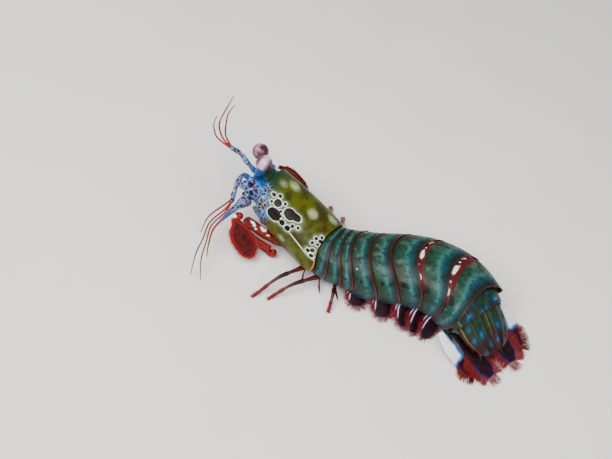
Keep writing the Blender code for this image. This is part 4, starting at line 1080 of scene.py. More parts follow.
def make_eye(side, head, gloss):
    """A stalk, and an eye made as a sphere pinched a little along its midband"""
    along, turn, place = EYES[side]
    base, out = core_root(along, turn, SIDES[side])
    middle = body_points(*place)
    way = unit(middle - base)
    end = middle - way * (EYE_RADIUS - 0.6)
    forward, left, _ = directions(-42.0)
    rings, _ = limb_rings((base, base + out * 1.2, 0.5 * (base + out * 1.2 + end), end),
                          (1.5, 1.6, 2.1, 2.5), (1.4, 1.5, 2.0, 2.4), left, oval_section(32), 40, out)
    make_piece("stalk_" + side, loft(rings, net=0.0), head, ("eye_stalk_" + side,))
    pole = unit(way + 0.001 * forward)
    first = square_to(left, pole)
    second = np.cross(pole, first)
    rise = np.linspace(0.02, math.pi - 0.02, 65)[:, None]
    spin = ((np.arange(96) + 0.5) * 2.0 * math.pi / 96)[None, :]
    x, y, z = np.sin(rise) * np.cos(spin), np.sin(rise) * np.sin(spin), np.cos(rise) + 0.0 * spin
    radius = EYE_RADIUS * (1.0 - 0.02 * np.exp(-(y / 0.12) ** 2))
    rings = middle + radius[..., None] * (x[..., None] * first + y[..., None] * second + z[..., None] * pole)
    outward_way = (rings - middle) / EYE_RADIUS
    warm = np.exp(-((outward_way - WARM_WAY) ** 2).sum(-1) / 0.07) * (side == "r")
    # The far eye gets painted shade, darker than the near eye, which is the same kind of eye
    dark = FAR_EYE_PAINTED_SHADE if side == "r" else 0.0
    part = loft(rings, turn=np.broadcast_to(rise / math.pi + dark, x.shape), band=y * EYE_RADIUS + 4.0,
                band_place=np.abs(y) * EYE_RADIUS + 7.0 * dark, warm=warm)
    make_piece("eyeball_" + side, part, gloss, ("eye_" + side,))


# Jointed limbs

def joints(share, places, width=0.018):
    """1 at each joint, falling off over a width, as a share of the limb"""
    return np.max([np.exp(-((share - place) / width) ** 2) for place in places], axis=0)[:, None]


ANTENNULES = {
    "l": ((HEAD_FRONT - GAP, 2.5, -1.2), (-46.2, 3.4, -0.9), (-46.4, 6.8, -1.6), (-43.8, 13.0, -4.0),
          (-41.5, 15.9, -5.9)),
    "r": ((HEAD_FRONT - GAP, -2.4, -1.0), (-49.0, -3.0, -0.6), (-54.3, -4.3, -0.9), (-60.4, -4.5, -2.9)),
}
FEELERS = {
    "l": (((-42.3, 15.0, -5.1), (-42.1, 19.6, -8.0), (-43.2, 27.8, -11.7), (-40.6, 34.1, -15.8),
           (-38.4, 40.7, -18.8), (-33.1, 48.8, -22.9)),
          ((-42.3, 14.8, -5.6), (-41.1, 20.0, -8.9), (-41.7, 27.8, -12.9), (-38.5, 33.7, -17.1),
           (-34.6, 40.4, -20.3), (-26.9, 47.1, -22.9)),
          ((-42.7, 14.8, -4.8), (-43.8, 19.4, -7.0), (-45.3, 27.2, -10.4), (-43.2, 33.5, -14.4))),
    "r": (((-59.1, -4.4, -2.5), (-63.8, -5.6, -3.6), (-67.2, -6.9, -3.5), (-70.6, -8.2, -0.7),
           (-72.0, -10.4, 2.2), (-73.2, -14.7, 6.0), (-74.3, -18.6, 9.6)),
          ((-59.1, -4.6, -2.2), (-63.8, -6.7, -2.6), (-66.5, -8.5, -1.8), (-69.0, -10.6, 1.6),
           (-70.7, -12.5, 4.7), (-71.1, -16.3, 8.3)),
          ((-59.1, -4.2, -2.8), (-64.2, -4.8, -4.5), (-68.6, -5.4, -4.9), (-72.6, -7.3, -2.2),
           (-74.1, -10.0, 0.8))),
}


FEELER_RADII = (0.5, 0.42, 0.34, 0.2)
FEELER_SEGMENT = 0.55


def feeler(points):
    """A ringed feeler: its radius ripples as a cosine of the distance along it, segment by segment"""
    length = smooth_path(points, ENDS)[1]
    count = int(length / FEELER_SEGMENT) * 4 + 8
    rings, share = limb_rings(points, FEELER_RADII, FEELER_RADII, (0.0, 0.3, 1.0), oval_section(10), count)
    rings = swollen(rings, 1.0 + 0.1 * np.cos(2.0 * math.pi * share * length / FEELER_SEGMENT))
    rings[..., 2] = np.maximum(rings[..., 2], FLOOR_CLEAR)
    return loft(rings, share=(0.55 + 0.45 * share)[:, None], joint=0.0)


def make_antennule(side, finish):
    """An antennule: a stalk of three pieces, then three ringed feelers"""
    path = body_path(ANTENNULES[side])
    ahead = directions(HEAD_FRONT)[0]
    radii = (1.35, 1.3, 1.0, 1.3, 1.25, 0.95, 1.25, 1.15, 0.85)
    rings, share = limb_rings(path, radii, radii, (0.0, 0.3, 1.0), oval_section(20), 90, ahead)
    parts = [loft(rings, share=(0.42 * share)[:, None], joint=joints(share, (0.27, 0.63)),
                  net=smooth((share - 0.1) / 0.2)[:, None])]
    parts += [feeler(body_path(strand)) for strand in FEELERS[side]]
    make_piece("feelers_" + side, merged(parts), finish, ("antennule_" + side,))


ANTENNA_ROOT = (-36.6, -36.0)
ANTENNAE = {
    "l": ((-38.0, 11.6, -5.2), (-39.0, 16.1, -6.7), (-39.6, 19.8, -10.0), (-40.0, 27.2, -14.8),
          (-36.8, 33.0, -19.1), (-33.1, 37.2, -21.5)),
    "r": ((-38.0, -11.3, -5.2), (-39.0, -15.4, -6.7), (-40.0, -18.0, -11.0), (-37.5, -22.6, -17.2),
          (-31.1, -24.7, -20.9)),
}
SCALES = {
    "l": (((-37.5, 18.4, -7.7), (-35.1, 20.2, -8.8), (-29.2, 21.7, -11.3), (-22.3, 22.2, -14.2),
           (-15.7, 23.0, -16.8)), (0.44, 0.88, -0.3)),
    "r": (((-37.6, -17.2, -7.6), (-35.9, -18.1, -6.4), (-31.6, -18.0, -5.0), (-26.9, -17.4, -4.0),
           (-20.6, -17.0, -3.4)), (0.1, 0.15, 0.97)),
}


# First and last share, spacing, length and width in mm, and seed of the scales' fringe
SCALE_FRINGE = (0.3, 0.55, 0.1, 1.1, 0.1, 11)


def leaf(points, wide, deep, across, count=48, sides=40, power=0.62, way=None, floor=FLOOR_CLEAR):
    """A flat blade with fields: edge is the distance in mm from the rim, across the place over it"""
    section = oval_section(sides, power)
    rings, share = limb_rings(points, wide, deep, across, section, count, way, floor=floor)
    centre = rings.mean(axis=1)[:, None]
    half = np.linalg.norm(rings - centre, axis=2).max(axis=1)[:, None]
    length = np.linalg.norm(np.diff(centre[:, 0], axis=0), axis=1).sum()
    edge = np.minimum((1.0 - np.abs(section[:, 0]))[None] * half, (1.0 - share)[:, None] * length + 0.2)
    part = loft(rings, edge=edge, across=section[None, :, 0] * half + 20.0, share=share[:, None], joint=0.0,
                side=section[None, :, 0])
    return part, rings


def outline_of(rings, first, last):
    """The rim of a blade from ring share first round the tip and back to share last"""
    count = len(rings)
    half = rings.shape[1] // 2
    one = 0.5 * (rings[:, 0] + rings[:, -1])
    other = 0.5 * (rings[:, half - 1] + rings[:, half])
    return np.vstack((one[int(first * count):], other[int(last * count):][::-1])), rings.mean(axis=1)


END_LENGTH = 0.25


def bristles(rings, first, last, spacing, length, width, seed):
    """A fringe: blades out from the rim every spacing, their lengths and lean varied at random.

    It runs from the share first of the blade's one edge, round the tip and back to the share last.
    """
    rng = np.random.default_rng(seed)
    outline, centre = outline_of(rings, first, last)
    total = smooth_path(outline, ENDS)[1]
    count = int(total / spacing)
    share = (np.arange(count) + 0.5) / count
    edge = smooth_path(outline, share)[0]
    travel = unit(np.gradient(edge, axis=0))
    near = np.linalg.norm(edge[:, None] - centre[None], axis=2).argmin(axis=1)
    out = square_to(edge - centre[near], travel)
    normal = np.cross(travel, out)
    ends = smooth(np.minimum(share, 1.0 - share) / 0.12)
    lengths = length * rng.uniform(0.8, 1.12, count) * (END_LENGTH + (1.0 - END_LENGTH) * ends)
    lean = travel * rng.normal(0.0, 0.12, count)[:, None] + normal * rng.normal(0.0, 0.07, count)[:, None]
    way = unit(out + lean)
    spots = np.stack((0.1 + 0.8 * share, np.full(count, 0.5)), -1)
    bend = normal * rng.normal(0.0, 0.1, count)[:, None] * lengths[:, None]
    return blades(edge - out * 0.5, way, travel, lengths + 0.5, width, spots, bend)


def make_antenna(side, limb, scale, red):
    """An antenna's thick stalk and feeler, and its broad scale with a short red fringe"""
    sign = SIDES[side]
    root, way = core_root(*ANTENNA_ROOT, sign)
    path = [root, root + way * 1.5] + [body_points(*point) for point in ANTENNAE[side]]
    radii = (2.7, 2.9, 2.5, 1.45, 1.4, 1.0, 0.75, 0.6, 0.52, 0.46, 0.4, 0.36, 0.3, 0.22)
    rings, share = limb_rings(path, radii, radii, (1.0, 0.0, 0.2), oval_section(24), 150, way)
    part = loft(rings, share=share[:, None], joint=joints(share, (0.12, 0.3), 0.012),
                net=smooth((0.34 - share) / 0.06)[:, None])
    make_piece("antenna_stalk_" + side, part, limb, ("antenna_" + side,))
    places, tilt = SCALES[side]
    across = np.array(tilt) @ np.stack(directions(-28.0))
    part, rings = leaf([body_points(*point) for point in places], (0.9, 1.9, 4.4, 5.2, 5.1, 4.4, 1.8),
                       (0.7, 0.6, 0.5, 0.45, 0.4, 0.35, 0.3), across)
    make_piece("scale_" + side, part, scale, ("antennal_scale_" + side,))
    make_piece("scale_fringe_" + side, bristles(rings, *SCALE_FRINGE), red, ())


CLAW_ROOT = (-7.5, -42.0)
# White groups on the merus: (mm from its front end, arc in mm from its top, half-length, half-width, turn)
MERUS_SPOTS = ((3.8, 1.4, 1.8, 0.8, 10), (9.8, 0.4, 1.7, 0.9, 0), (6.7, 2.6, 0.6, 0.5, 0),
               (13.4, 1.6, 0.7, 0.4, 0))
# Arcs of its thin gold lines
MERUS_LINES = (-1.6, 2.6, 4.4)
MERUS_RADIUS = 2.4
CLAW_SIDES = 40
MERUS = ((-9.0, 9.4, -9.4), (-12.5, 10.5, -11.3), (-18.0, 11.8, -11.9), (-26.0, 13.6, -11.3),
         (-32.2, 14.6, -10.1))
CARPUS = ((-33.4, 14.8, -10.4), (-35.4, 15.0, -11.6), (-36.2, 15.2, -13.4))
PROPODUS = ((-36.4, 15.2, -15.6), (-28.5, 15.8, -16.2), (-20.0, 15.8, -16.0), (-12.0, 13.8, -14.6))
DACTYL_PIVOT = (-11.3, 13.5, -16.6)
DACTYL_BEND = 1.9
DACTYL_END = ((-16.0, 14.4, -19.0), (-22.0, 15.4, -20.0))


def dactyl_path():
    """The dactyl's path in body coordinates: a half circle, then forward to its tip"""
    along, left, up = DACTYL_PIVOT
    turns = np.radians(np.linspace(90.0, -90.0, 7))
    x, y = DACTYL_BEND * np.cos(turns), DACTYL_BEND * np.sin(turns)
    return tuple((along + ahead, left, up + rise) for ahead, rise in zip(x, y)) + DACTYL_END


def make_claw(side, finishes):
    """A great claw, folded under the carapace's edge: four smooth swollen pieces"""
    sign = SIDES[side]
    _, lateral, up = directions(-22.0)
    pieces = (
        ("merus", MERUS, (1.5, 1.7, 2.3, 3.2, 3.4, 2.7), (1.5, 1.5, 1.6, 1.9, 1.9, 1.5), up),
        ("carpus", CARPUS, (1.4, 1.6, 1.6, 1.3), (1.6, 1.8, 1.8, 1.4), lateral),
        ("propodus", PROPODUS, (1.7, 2.5, 2.6, 2.2, 1.5), (1.4, 1.7, 1.6, 1.5, 1.2), up),
        ("dactyl", dactyl_path(), (1.2, 1.7, 1.7, 1.2, 0.9, 0.65, 0.3),
         (1.2, 1.6, 1.6, 1.2, 0.85, 0.65, 0.3), lateral),
    )
    for name, path, wide, deep, across in pieces:
        points = body_path(path, sign)
        way = None
        if name == "merus":
            root, way = core_root(*CLAW_ROOT, sign)
            points = [root, root + way] + points
        rings, share = limb_rings(points, wide, deep, across, oval_section(CLAW_SIDES, 0.95), 72, way)
        marks = {}
        if name == "merus":
            turn = (np.arange(CLAW_SIDES) + 0.5) * 2.0 * math.pi / CLAW_SIDES
            arc = -sign * np.where(turn > math.pi, turn - 2.0 * math.pi, turn) * MERUS_RADIUS
            back = (1.0 - share) * smooth_path(points, ENDS)[1]
            marks = {"pale": ellipse_distance(back[:, None], arc[None], MERUS_SPOTS),
                     "stripe": np.min([np.abs(arc - line) for line in MERUS_LINES], axis=0)[None]}
        part = loft(rings, share=share[:, None], joint=0.0, **marks)
        make_piece("%s_%s" % (name, side), part, finishes[name], ("claw_%s_%s" % (name, side),))


MAXILLIPED_TURN = -63.0
MAXILLIPED_SPACING = 4.8
MAXILLIPED_WIDE = (0.6, 0.6, 0.55, 0.6, 0.7, 0.3)
MAXILLIPED_DEEP = (0.75, 0.7, 0.65, 0.65, 0.95, 0.4)


def make_maxillipeds(side, finish):
    """The three small feeding limbs: a slim jointed stem that ends in a flat round hand"""
    sign = SIDES[side]
    lateral = directions(-20.0)[1]
    for k in range(3):
        back = MAXILLIPED_SPACING * k
        path = ((-25.4 + back, 6.6, -11.8), (-26.2 + back, 6.8, -13.6), (-24.2 + back, 6.4, -15.4),
                (-21.6 + back, 5.9, -15.0))
        root, way = core_root(-20.5 + back, MAXILLIPED_TURN, sign)
        points = [root, root + way * 1.2] + body_path(path, sign)
        rings, share = limb_rings(points, MAXILLIPED_WIDE, MAXILLIPED_DEEP, lateral, oval_section(20), 60,
                                  way)
        part = loft(rings, share=share[:, None], joint=joints(share, (0.3, 0.55, 0.75), 0.02))
        make_piece("feeding_limb_%d_%s" % (k + 3, side), part, finish,
                   ("maxilliped_%d_%s" % (k + 3, side),))


FEET = {
    "l": ((14.5, 35.6), (18.4, 29.8), (-0.8, 23.6)),
    "r": ((12.9, 31.9), (4.3, 30.7), (-7.4, 27.5)),
}
LEG_ROOT = 7.0
LEG_RADII = (1.5, 1.3, 1.05, 1.25, 1.05, 0.85, 1.1, 0.95, 0.8, 0.7, 0.95, 0.8, 0.7, 0.65)
FOOT_CLEAR = 0.15
# The knee and the end of the shin, as shares of the way from hip to foot, and their heights in mm
KNEE_AT = 0.52
KNEE_LIFT = 0.6
SHIN_AT = 0.86
SHIN_HEIGHT = 2.4
BRUSH_HAIRS = 130
GILL_THREADS = 90


def leg_brush(shin, foot, seed):
    """Short hairs round the last piece of a leg, leaning toward its tip at random"""
    rng = np.random.default_rng(seed)
    count = BRUSH_HAIRS
    way = unit(foot - shin)
    first = unit(np.cross(way, (0.0, 0.0, 1.0)))
    second = np.cross(way, first)
    share = rng.uniform(0.0, 1.0, count)
    turn = rng.uniform(0.0, 2.0 * math.pi, count)
    out = first * np.cos(turn)[:, None] + second * np.sin(turn)[:, None]
    bases = shin + (foot - shin) * share[:, None] + out * 0.4
    bases[:, 2] = np.maximum(bases[:, 2], 0.3)
    ways = unit(out * 0.8 + way * rng.uniform(0.5, 1.1, count)[:, None])
    spots = np.stack((0.1 + 0.8 * share, 0.3 + 0.06 * turn), -1)
    return blades(bases, ways, np.cross(ways, out + 0.3 * way), rng.uniform(0.9, 1.7, count), 0.09, spots)


def leg_points(along, sign, ahead, aside):
    """A walking leg's root and the way out of it, its hip, knee, end of shin and foot"""
    root, way = belly_root(along, sign * LEG_ROOT)
    forward, lateral, _ = directions(along)
    level = np.array((forward[0], forward[1], 0.0)) / math.hypot(forward[0], forward[1])
    foot = body_points(along, 0.0, 0.0) + level * ahead + sign * lateral * aside
    foot[2] = 0.0
    hip = root + sign * lateral * 3.0 + way * 3.2
    knee = hip + KNEE_AT * (foot - hip)
    knee[2] = hip[2] + KNEE_LIFT
    shin = hip + SHIN_AT * (foot - hip)
    shin[2] = SHIN_HEIGHT
    return root, way, hip, knee, shin, foot


def leg_branch(hip, way, forward, out):
    """The thin branch at a leg's hip"""
    path = (hip, hip + out * 3.5 + way * 2.2 - forward * 1.6, hip + out * 7.0 + way * 2.4 - forward * 3.4)
    rings, share = limb_rings(path, (0.45, 0.42, 0.5, 0.3), (0.4, 0.35, 0.4, 0.25), forward,
                              oval_section(12), 30)
    return loft(rings, share=share[:, None] * 0.6, joint=joints(share, (0.45,), 0.04))


def make_legs(side, finish, red):
    """The three walking legs of one side: jointed, each with its thin side branch and a tip brush"""
    sign = SIDES[side]
    for k, (row, start) in enumerate(somites(0, 3)):
        along = start + 0.5 * row[1] + 1.0
        forward, lateral, _ = directions(along)
        root, way, hip, knee, shin, foot = leg_points(along, sign, *FEET[side][k])
        rings, share = limb_rings((root, root + way * 1.4, hip, knee, shin, foot), LEG_RADII, LEG_RADII,
                                  (0.0, 0.0, 1.0), oval_section(20), 90, way, False, FOOT_CLEAR)
        rings[-1, :, 2] = 0.0
        stem = loft(rings, share=share[:, None], joint=joints(share, (0.17, 0.42, 0.72), 0.014))
        name = "%d_%s" % (k + 1, side)
        make_piece("walking_leg_" + name, merged([stem, leg_branch(hip, way, forward, sign * lateral)]),
                   finish, ("leg_" + name,))
        make_piece("leg_brush_" + name, leg_brush(shin, foot, 60 + k), red, ())


PLEOPOD_ROOT = 8.3
PLEOPOD_REACH = (8.5, 10.5, 11.5, 12.0, 11.0)
PLEOPOD_LEAN = (1.0, 1.0, 1.0, 0.2, 4.0)
PLEOPOD_FLOOR = 1.8
PETAL_WIDTHS = np.array((1.2, 2.8, 3.9, 4.0, 2.2))
PETAL_DEPTHS = np.array((0.7, 0.6, 0.5, 0.45, 0.35))


def gill_tuft(base, way, across, seed):
    """A feathery gill: rows of fine pale threads from a curved stem, their lean drawn at random"""
    rng = np.random.default_rng(seed)
    count = GILL_THREADS
    share = np.sort(rng.uniform(0.0, 1.0, count))
    side = unit(across)
    normal = np.cross(way, side)
    bases = base + way * (share * 4.0)[:, None] + side * rng.normal(0.0, 0.15, count)[:, None]
    turn = rng.uniform(0.0, 2.0 * math.pi, count)
    out = unit(side * np.cos(turn)[:, None] + normal * np.sin(turn)[:, None] + way * 0.6)
    spots = np.stack((0.1 + 0.8 * share, 0.3 + 0.2 * turn / 6.3), -1)
    bend = np.broadcast_to(way * 0.8, bases.shape)
    return blades(bases, out, np.cross(out, way), 1.7 - 0.8 * share, 0.11, spots, bend)


def pleopod_points(along, sign, reach, lean):
    """A swimmeret's root and the way out of it, its neck, and the middle and tip of both petals"""
    forward, lateral, up = directions(along)
    out = sign * lateral
    root, way = belly_root(along, sign * PLEOPOD_ROOT)
    neck = root + out * 0.6 - up * 4.3 - forward * 0.4
    drop = (neck[2] - PLEOPOD_FLOOR) / up[2]
    tip = neck + out * reach - up * drop - forward * lean
    middle = 0.5 * (neck + tip) + out * 0.6
    inner_tip = neck + 0.86 * (tip - neck) - out * 1.8 + forward * 2.6
    inner_middle = 0.5 * (neck + inner_tip) + forward * 0.8
    return root, way, neck, (middle, tip), (inner_middle, inner_tip)


def make_pleopods(side, petal, red, gill):
    """The five swimmerets of one side: two petals each with a fringe, and a feathery gill"""
    sign = SIDES[side]
    for k, (row, start) in enumerate(somites(3, 8)):
        along = start + 0.55 * row[1] + 1.5
        forward, lateral, up = directions(along)
        root, way, neck, outer, inner = pleopod_points(along, sign, PLEOPOD_REACH[k], PLEOPOD_LEAN[k])
        across = 0.6 * forward + 0.8 * sign * lateral
        foot = neck + 0.25 * (root - neck)
        heart = foot + 0.3 * (inner[0] - foot)
        stem = leaf((root, 0.5 * (root + neck), neck), (1.5, 1.6, 1.5), (0.9, 0.9, 0.6), across, 16, 20,
                    0.8, way)[0]
        outer, outer_rings = leaf((foot, *outer), PETAL_WIDTHS, PETAL_DEPTHS, across, 36, 28)
        inner, inner_rings = leaf((foot, *inner), 0.8 * PETAL_WIDTHS, PETAL_DEPTHS, across, 36, 28)
        name = "%d_%s" % (k + 1, side)
        make_piece("petals_" + name, merged([stem, outer, inner]), petal, ("pleopod_" + name,))
        fringe = merged([bristles(rings, 0.45, 0.45, 0.1, reach, 0.11, seed + k)
                         for rings, reach, seed in ((outer_rings, 2.7, 20), (inner_rings, 2.4, 30))])
        make_piece("petal_fringe_" + name, fringe, red, ())
        tuft = gill_tuft(heart, -sign * 0.55 * lateral - up * 0.6 + forward * 0.3, forward, 40 + k)
        make_piece("gill_" + name, tuft, gill, ())


PROTOPOD = ((80.3, 12.4, -6.15), (82.8, 13.3, -6.7), (85.6, 13.2, -6.4))
EXOPOD = {
    "l": ((82.2, 17.6, -6.2), (87.2, 17.7, -5.8), (94.5, 16.4, -6.0), (101.0, 14.5, -7.0),
          (108.0, 12.0, -5.4)),
    "r": ((82.2, 17.6, -6.2), (87.8, 18.2, -5.8), (95.0, 18.3, -6.0), (102.0, 17.5, -7.0),
          (109.5, 14.0, -4.9)),
}
ENDOPOD = ((86.4, 12.4, -6.1), (90.0, 11.1, -5.5), (96.0, 9.4, -5.1), (103.0, 7.9, -4.6),
           (111.5, 6.9, -2.7))
# Each paddle: name, node, half-widths, half-depths, rings, sides and its fringe's six values
PADDLES = (
    ("outer", "exopod", (1.5, 2.4, 3.4, 3.2, 3.6, 3.6, 1.9), (0.8, 1.0, 0.9, 0.6, 0.5, 0.42, 0.35), 72, 48,
     (0.6, 0.55, 0.075, 4.0, 0.12, 51)),
    ("inner", "endopod", (1.1, 2.0, 3.1, 3.7, 4.1, 4.2, 2.2), (0.7, 0.6, 0.55, 0.5, 0.45, 0.4, 0.35), 64, 40,
     (0.45, 0.45, 0.07, 4.6, 0.13, 52)),
)
TRIM_SPINE_RADIUS = 0.9
PROTOPOD_SPINES = (((84.0, 13.6, -7.2), (93.0, 13.0, -8.2)), ((84.0, 12.4, -7.3), (89.0, 10.9, -8.3)))


def make_uropod(side, finishes, red):
    """A uropod: its base with two long spines, the pale outer paddle and the dark inner one"""
    sign = SIDES[side]
    lateral = directions(90.0)[1]
    rings, _ = limb_rings(body_path(PROTOPOD, sign), (1.6, 2.2, 1.8), (1.3, 1.5, 1.2), lateral,
                          oval_section(32, 0.8), 40)
    parts = [loft(rings, spot=FAR, keel=FAR, gold=0.0, redden=0.0, margin=FAR)]
    parts += [cone(*body_path(spine, sign), TRIM_SPINE_RADIUS) for spine in PROTOPOD_SPINES]
    make_piece("tail_base_" + side, merged(parts), finishes["base"], ("uropod_protopod_" + side,))
    paths = {"outer": EXOPOD[side], "inner": ENDOPOD}
    for name, node, wide, deep, count, sides, fringe in PADDLES:
        blade, rings = leaf(body_path(paths[name], sign), wide, deep, lateral, count, sides, floor=0.0)
        blade["fields"]["side"] = sign * blade["fields"]["side"]
        nodes = ("uropod_%s_%s" % (node, side),)
        make_piece("%s_paddle_%s" % (name, side), blade, finishes[name], nodes)
        make_piece("%s_fringe_%s" % (name, side), bristles(rings, *fringe), red, ())


# Operators

class ShrimpColours(bpy.types.PropertyGroup):
    """Colours of the shell, limbs and floor"""


class ShrimpSizes(bpy.types.PropertyGroup):
    """Sizes of the display"""
    floor_width: FloatProperty(name="Floor width", description="Side of the square floor", default=4.0,
                               min=0.5, unit="LENGTH")
    light_power: FloatProperty(name="Light", description="Power of the large soft lamp", default=9.0,
                               min=0.0, unit="POWER")


COLOURS = (
    ("olive", "Carapace", (0.062, 0.068, 0.002)),
    ("olive_dark", "Carapace shade", (0.026, 0.024, 0.002)),
    ("olive_light", "Carapace flecks", (0.12, 0.13, 0.008)),
    ("blotch", "Pale blotches", (0.3, 0.38, 0.2)),
    ("glow", "Pale green round the cells", (0.11, 0.2, 0.09)),
    ("cell", "Brown cells", (0.012, 0.005, 0.002)),
    ("cell_dark", "Cell centres", (0.004, 0.002, 0.001)),
    ("white", "White marks", (0.72, 0.77, 0.72)),
    ("rim", "Rim of the side lobes", (0.42, 0.13, 0.04)),
    ("green_dark", "Dark green", (0.004, 0.012, 0.006)),
    ("green", "Green", (0.006, 0.032, 0.017)),
    ("teal_dark", "Deep teal", (0.008, 0.05, 0.036)),
    ("teal", "Teal", (0.025, 0.11, 0.083)),
    ("blue", "Blue", (0.006, 0.046, 0.075)),
    ("blue_dark", "Deep blue", (0.003, 0.022, 0.05)),
    ("sky", "Bright blue", (0.003, 0.11, 0.37)),
    ("head_blue", "Blue of the head", (0.001, 0.04, 0.22)),
    ("lavender", "Pale net of the head", (0.19, 0.3, 0.56)),
    ("brown", "Brown spots of the head", (0.035, 0.012, 0.006)),
    ("tail_green", "Green of the tail", (0.006, 0.03, 0.012)),
    ("lime", "Green keels", (0.16, 0.24, 0.01)),
    ("gold", "Gold keels", (0.28, 0.1, 0.008)),
    ("red", "Red", (0.19, 0.002, 0.002)),
    ("red_dark", "Dark red", (0.075, 0.003, 0.003)),
    ("band", "Red bands of the abdomen", (0.075, 0.003, 0.003)),
    ("maroon", "Maroon", (0.016, 0.001, 0.003)),
    ("violet", "Violet rim", (0.008, 0.002, 0.07)),
    ("orange", "Orange", (0.27, 0.03, 0.004)),
    ("joint", "Joint skin", (0.12, 0.03, 0.012)),
    ("claw", "Claws", (0.16, 0.002, 0.001)),
    ("black", "Near black", (0.005, 0.001, 0.003)),
    # Pale clouds of the plates, partly painted highlights
    ("cloud", "Pale clouds of the plates", (0.12, 0.18, 0.13)),
    ("fringe", "Fringes", (0.18, 0.002, 0.002)),
    ("stain", "Brown stain", (0.022, 0.011, 0.004)),
    ("front", "Front of the carapace", (0.012, 0.04, 0.016)),
    ("petal_rim", "Violet rim of the swimmerets", (0.02, 0.004, 0.05)),
    ("petal", "Swimmerets", (0.012, 0.001, 0.005)),
    ("gill", "Gills", (0.55, 0.5, 0.75)),
    ("eye_pink", "Eye", (0.25, 0.11, 0.17)),
    # The eye's pale pink is partly the eye's own colour and partly a painted highlight
    ("eye_pale", "Eye, pale", (0.56, 0.42, 0.47)),
    ("eye_rim", "Rim of the eye", (0.035, 0.006, 0.03)),
    ("floor", "Floor", (0.74, 0.73, 0.7)),
)
for colour_key, colour_name, colour_value in COLOURS:
    ShrimpColours.__annotations__[colour_key] = FloatVectorProperty(
        name=colour_name, description="Colour: " + colour_name, subtype="COLOR", size=3, min=0.0, max=1.0,
        default=colour_value)


class SHRIMP_OT_carapace(bpy.types.Operator):
    """Make the carapace and the rostral plate"""
    bl_idname = "shrimp.carapace"
    bl_label = "Carapace"

    def execute(self, context):
        finish = carapace_finish()
        make_carapace(finish)
        make_rostrum(finish)
        return {"FINISHED"}


class SHRIMP_OT_core(bpy.types.Operator):
    """Make the flesh under the carapace, the stalks and the eyes"""
    bl_idname = "shrimp.core"
    bl_label = "Head and eyes"

    def execute(self, context):
        head = head_finish()
        make_core(head, flesh_finish())
        gloss = eye_finish()
        for side in SIDES:
            make_lobes(side, head)
            make_eye(side, head, gloss)
        return {"FINISHED"}


class SHRIMP_OT_plates(bpy.types.Operator):
    """Make the body plates, from the thorax to the fifth of the abdomen"""
    bl_idname = "shrimp.plates"
    bl_label = "Body plates"

    def execute(self, context):
        finish = plate_finish()
        for row, start in somites(0, 8):
            make_plate(row, start, finish)
        return {"FINISHED"}


class SHRIMP_OT_tail(bpy.types.Operator):
    """Make the last somite, the telson and the uropods"""
    bl_idname = "shrimp.tail"
    bl_label = "Tail"

    def execute(self, context):
        look = context.scene.shrimp_colours
        shell = tail_finish()
        make_last_somite(*somites(8, 9)[0], shell)
        make_telson(shell)
        red = bristle_finish("tail_bristles", look.red_dark, look.fringe)
        finishes = {"base": shell, "outer": outer_paddle_finish(),
                    "inner": leaf_finish("inner_paddle", look.black, look.violet, look.maroon, 0.9, 0.55)}
        for side in SIDES:
            make_uropod(side, finishes, red)
        return {"FINISHED"}


class SHRIMP_OT_antennae(bpy.types.Operator):
    """Make the antennules, the antennae and their scales"""
    bl_idname = "shrimp.antennae"
    bl_label = "Antennae"

    def execute(self, context):
        look = context.scene.shrimp_colours
        thin = limb_finish("antennule_shell", (look.head_blue, look.sky, look.lavender, look.orange,
                                               look.red, look.red_dark, look.red_dark), net=True, blots=0.3)
        thick = limb_finish("antenna_shell", (look.head_blue, look.sky, look.head_blue, look.orange,
                                              look.red, look.red), net=True, blots=0.3)
        # The near scale's dark red centre is painted shade; the far scale shows the scale's own orange
        near = leaf_finish("scale_leaf", look.red_dark, look.red, look.maroon, 1.3, pale_root=0.07)
        far = leaf_finish("far_scale_leaf", look.orange, look.red_dark, look.red, 1.0, pale_root=0.07)
        red = bristle_finish("red_bristles", look.red_dark, look.red)
        for side, scale in (("l", near), ("r", far)):
            make_antennule(side, thin)
            make_antenna(side, thick, scale, red)
        return {"FINISHED"}


class SHRIMP_OT_limbs(bpy.types.Operator):
    """Make the great claws, the feeding limbs and the walking legs"""
    bl_idname = "shrimp.limbs"
    bl_label = "Claws and legs"

    def execute(self, context):
        look = context.scene.shrimp_colours
        claws = {
            "merus": limb_finish("merus_shell", (look.red_dark, look.red_dark, look.claw, look.red_dark),
                                 pale=True),
            "carpus": limb_finish("carpus_shell", (look.claw, look.orange, look.claw)),
            "propodus": limb_finish("propodus_shell", (look.claw, look.red, look.claw, look.claw),
                                    blots=0.25),
            "dactyl": limb_finish("dactyl_shell", (look.red, look.claw, look.claw, look.blotch), blots=0.2),
        }
        feeding = limb_finish("feeding_shell", (look.red_dark, look.red_dark, look.orange, look.blotch))
        legs = limb_finish("leg_shell", (look.maroon, look.red_dark, look.maroon, look.red_dark, look.red),
                           blots=0.7)
        red = bristle_finish("leg_bristles", look.red_dark, look.red)
        for side in SIDES:
            make_claw(side, claws)
            make_maxillipeds(side, feeding)
            make_legs(side, legs, red)
        return {"FINISHED"}


class SHRIMP_OT_pleopods(bpy.types.Operator):
    """Make the swimmerets with their fringes and gills"""
    bl_idname = "shrimp.pleopods"
    bl_label = "Swimmerets"

    def execute(self, context):
        look = context.scene.shrimp_colours
        petal = leaf_finish("petal_leaf", look.petal, look.petal_rim, look.black, 0.35, 0.3, pale_edge=0.85)
        red = bristle_finish("petal_bristles", look.maroon, look.fringe)
        gill = bristle_finish("gill_threads", look.petal_rim, look.gill)
        for side in SIDES:
            make_pleopods(side, petal, red, gill)
        return {"FINISHED"}


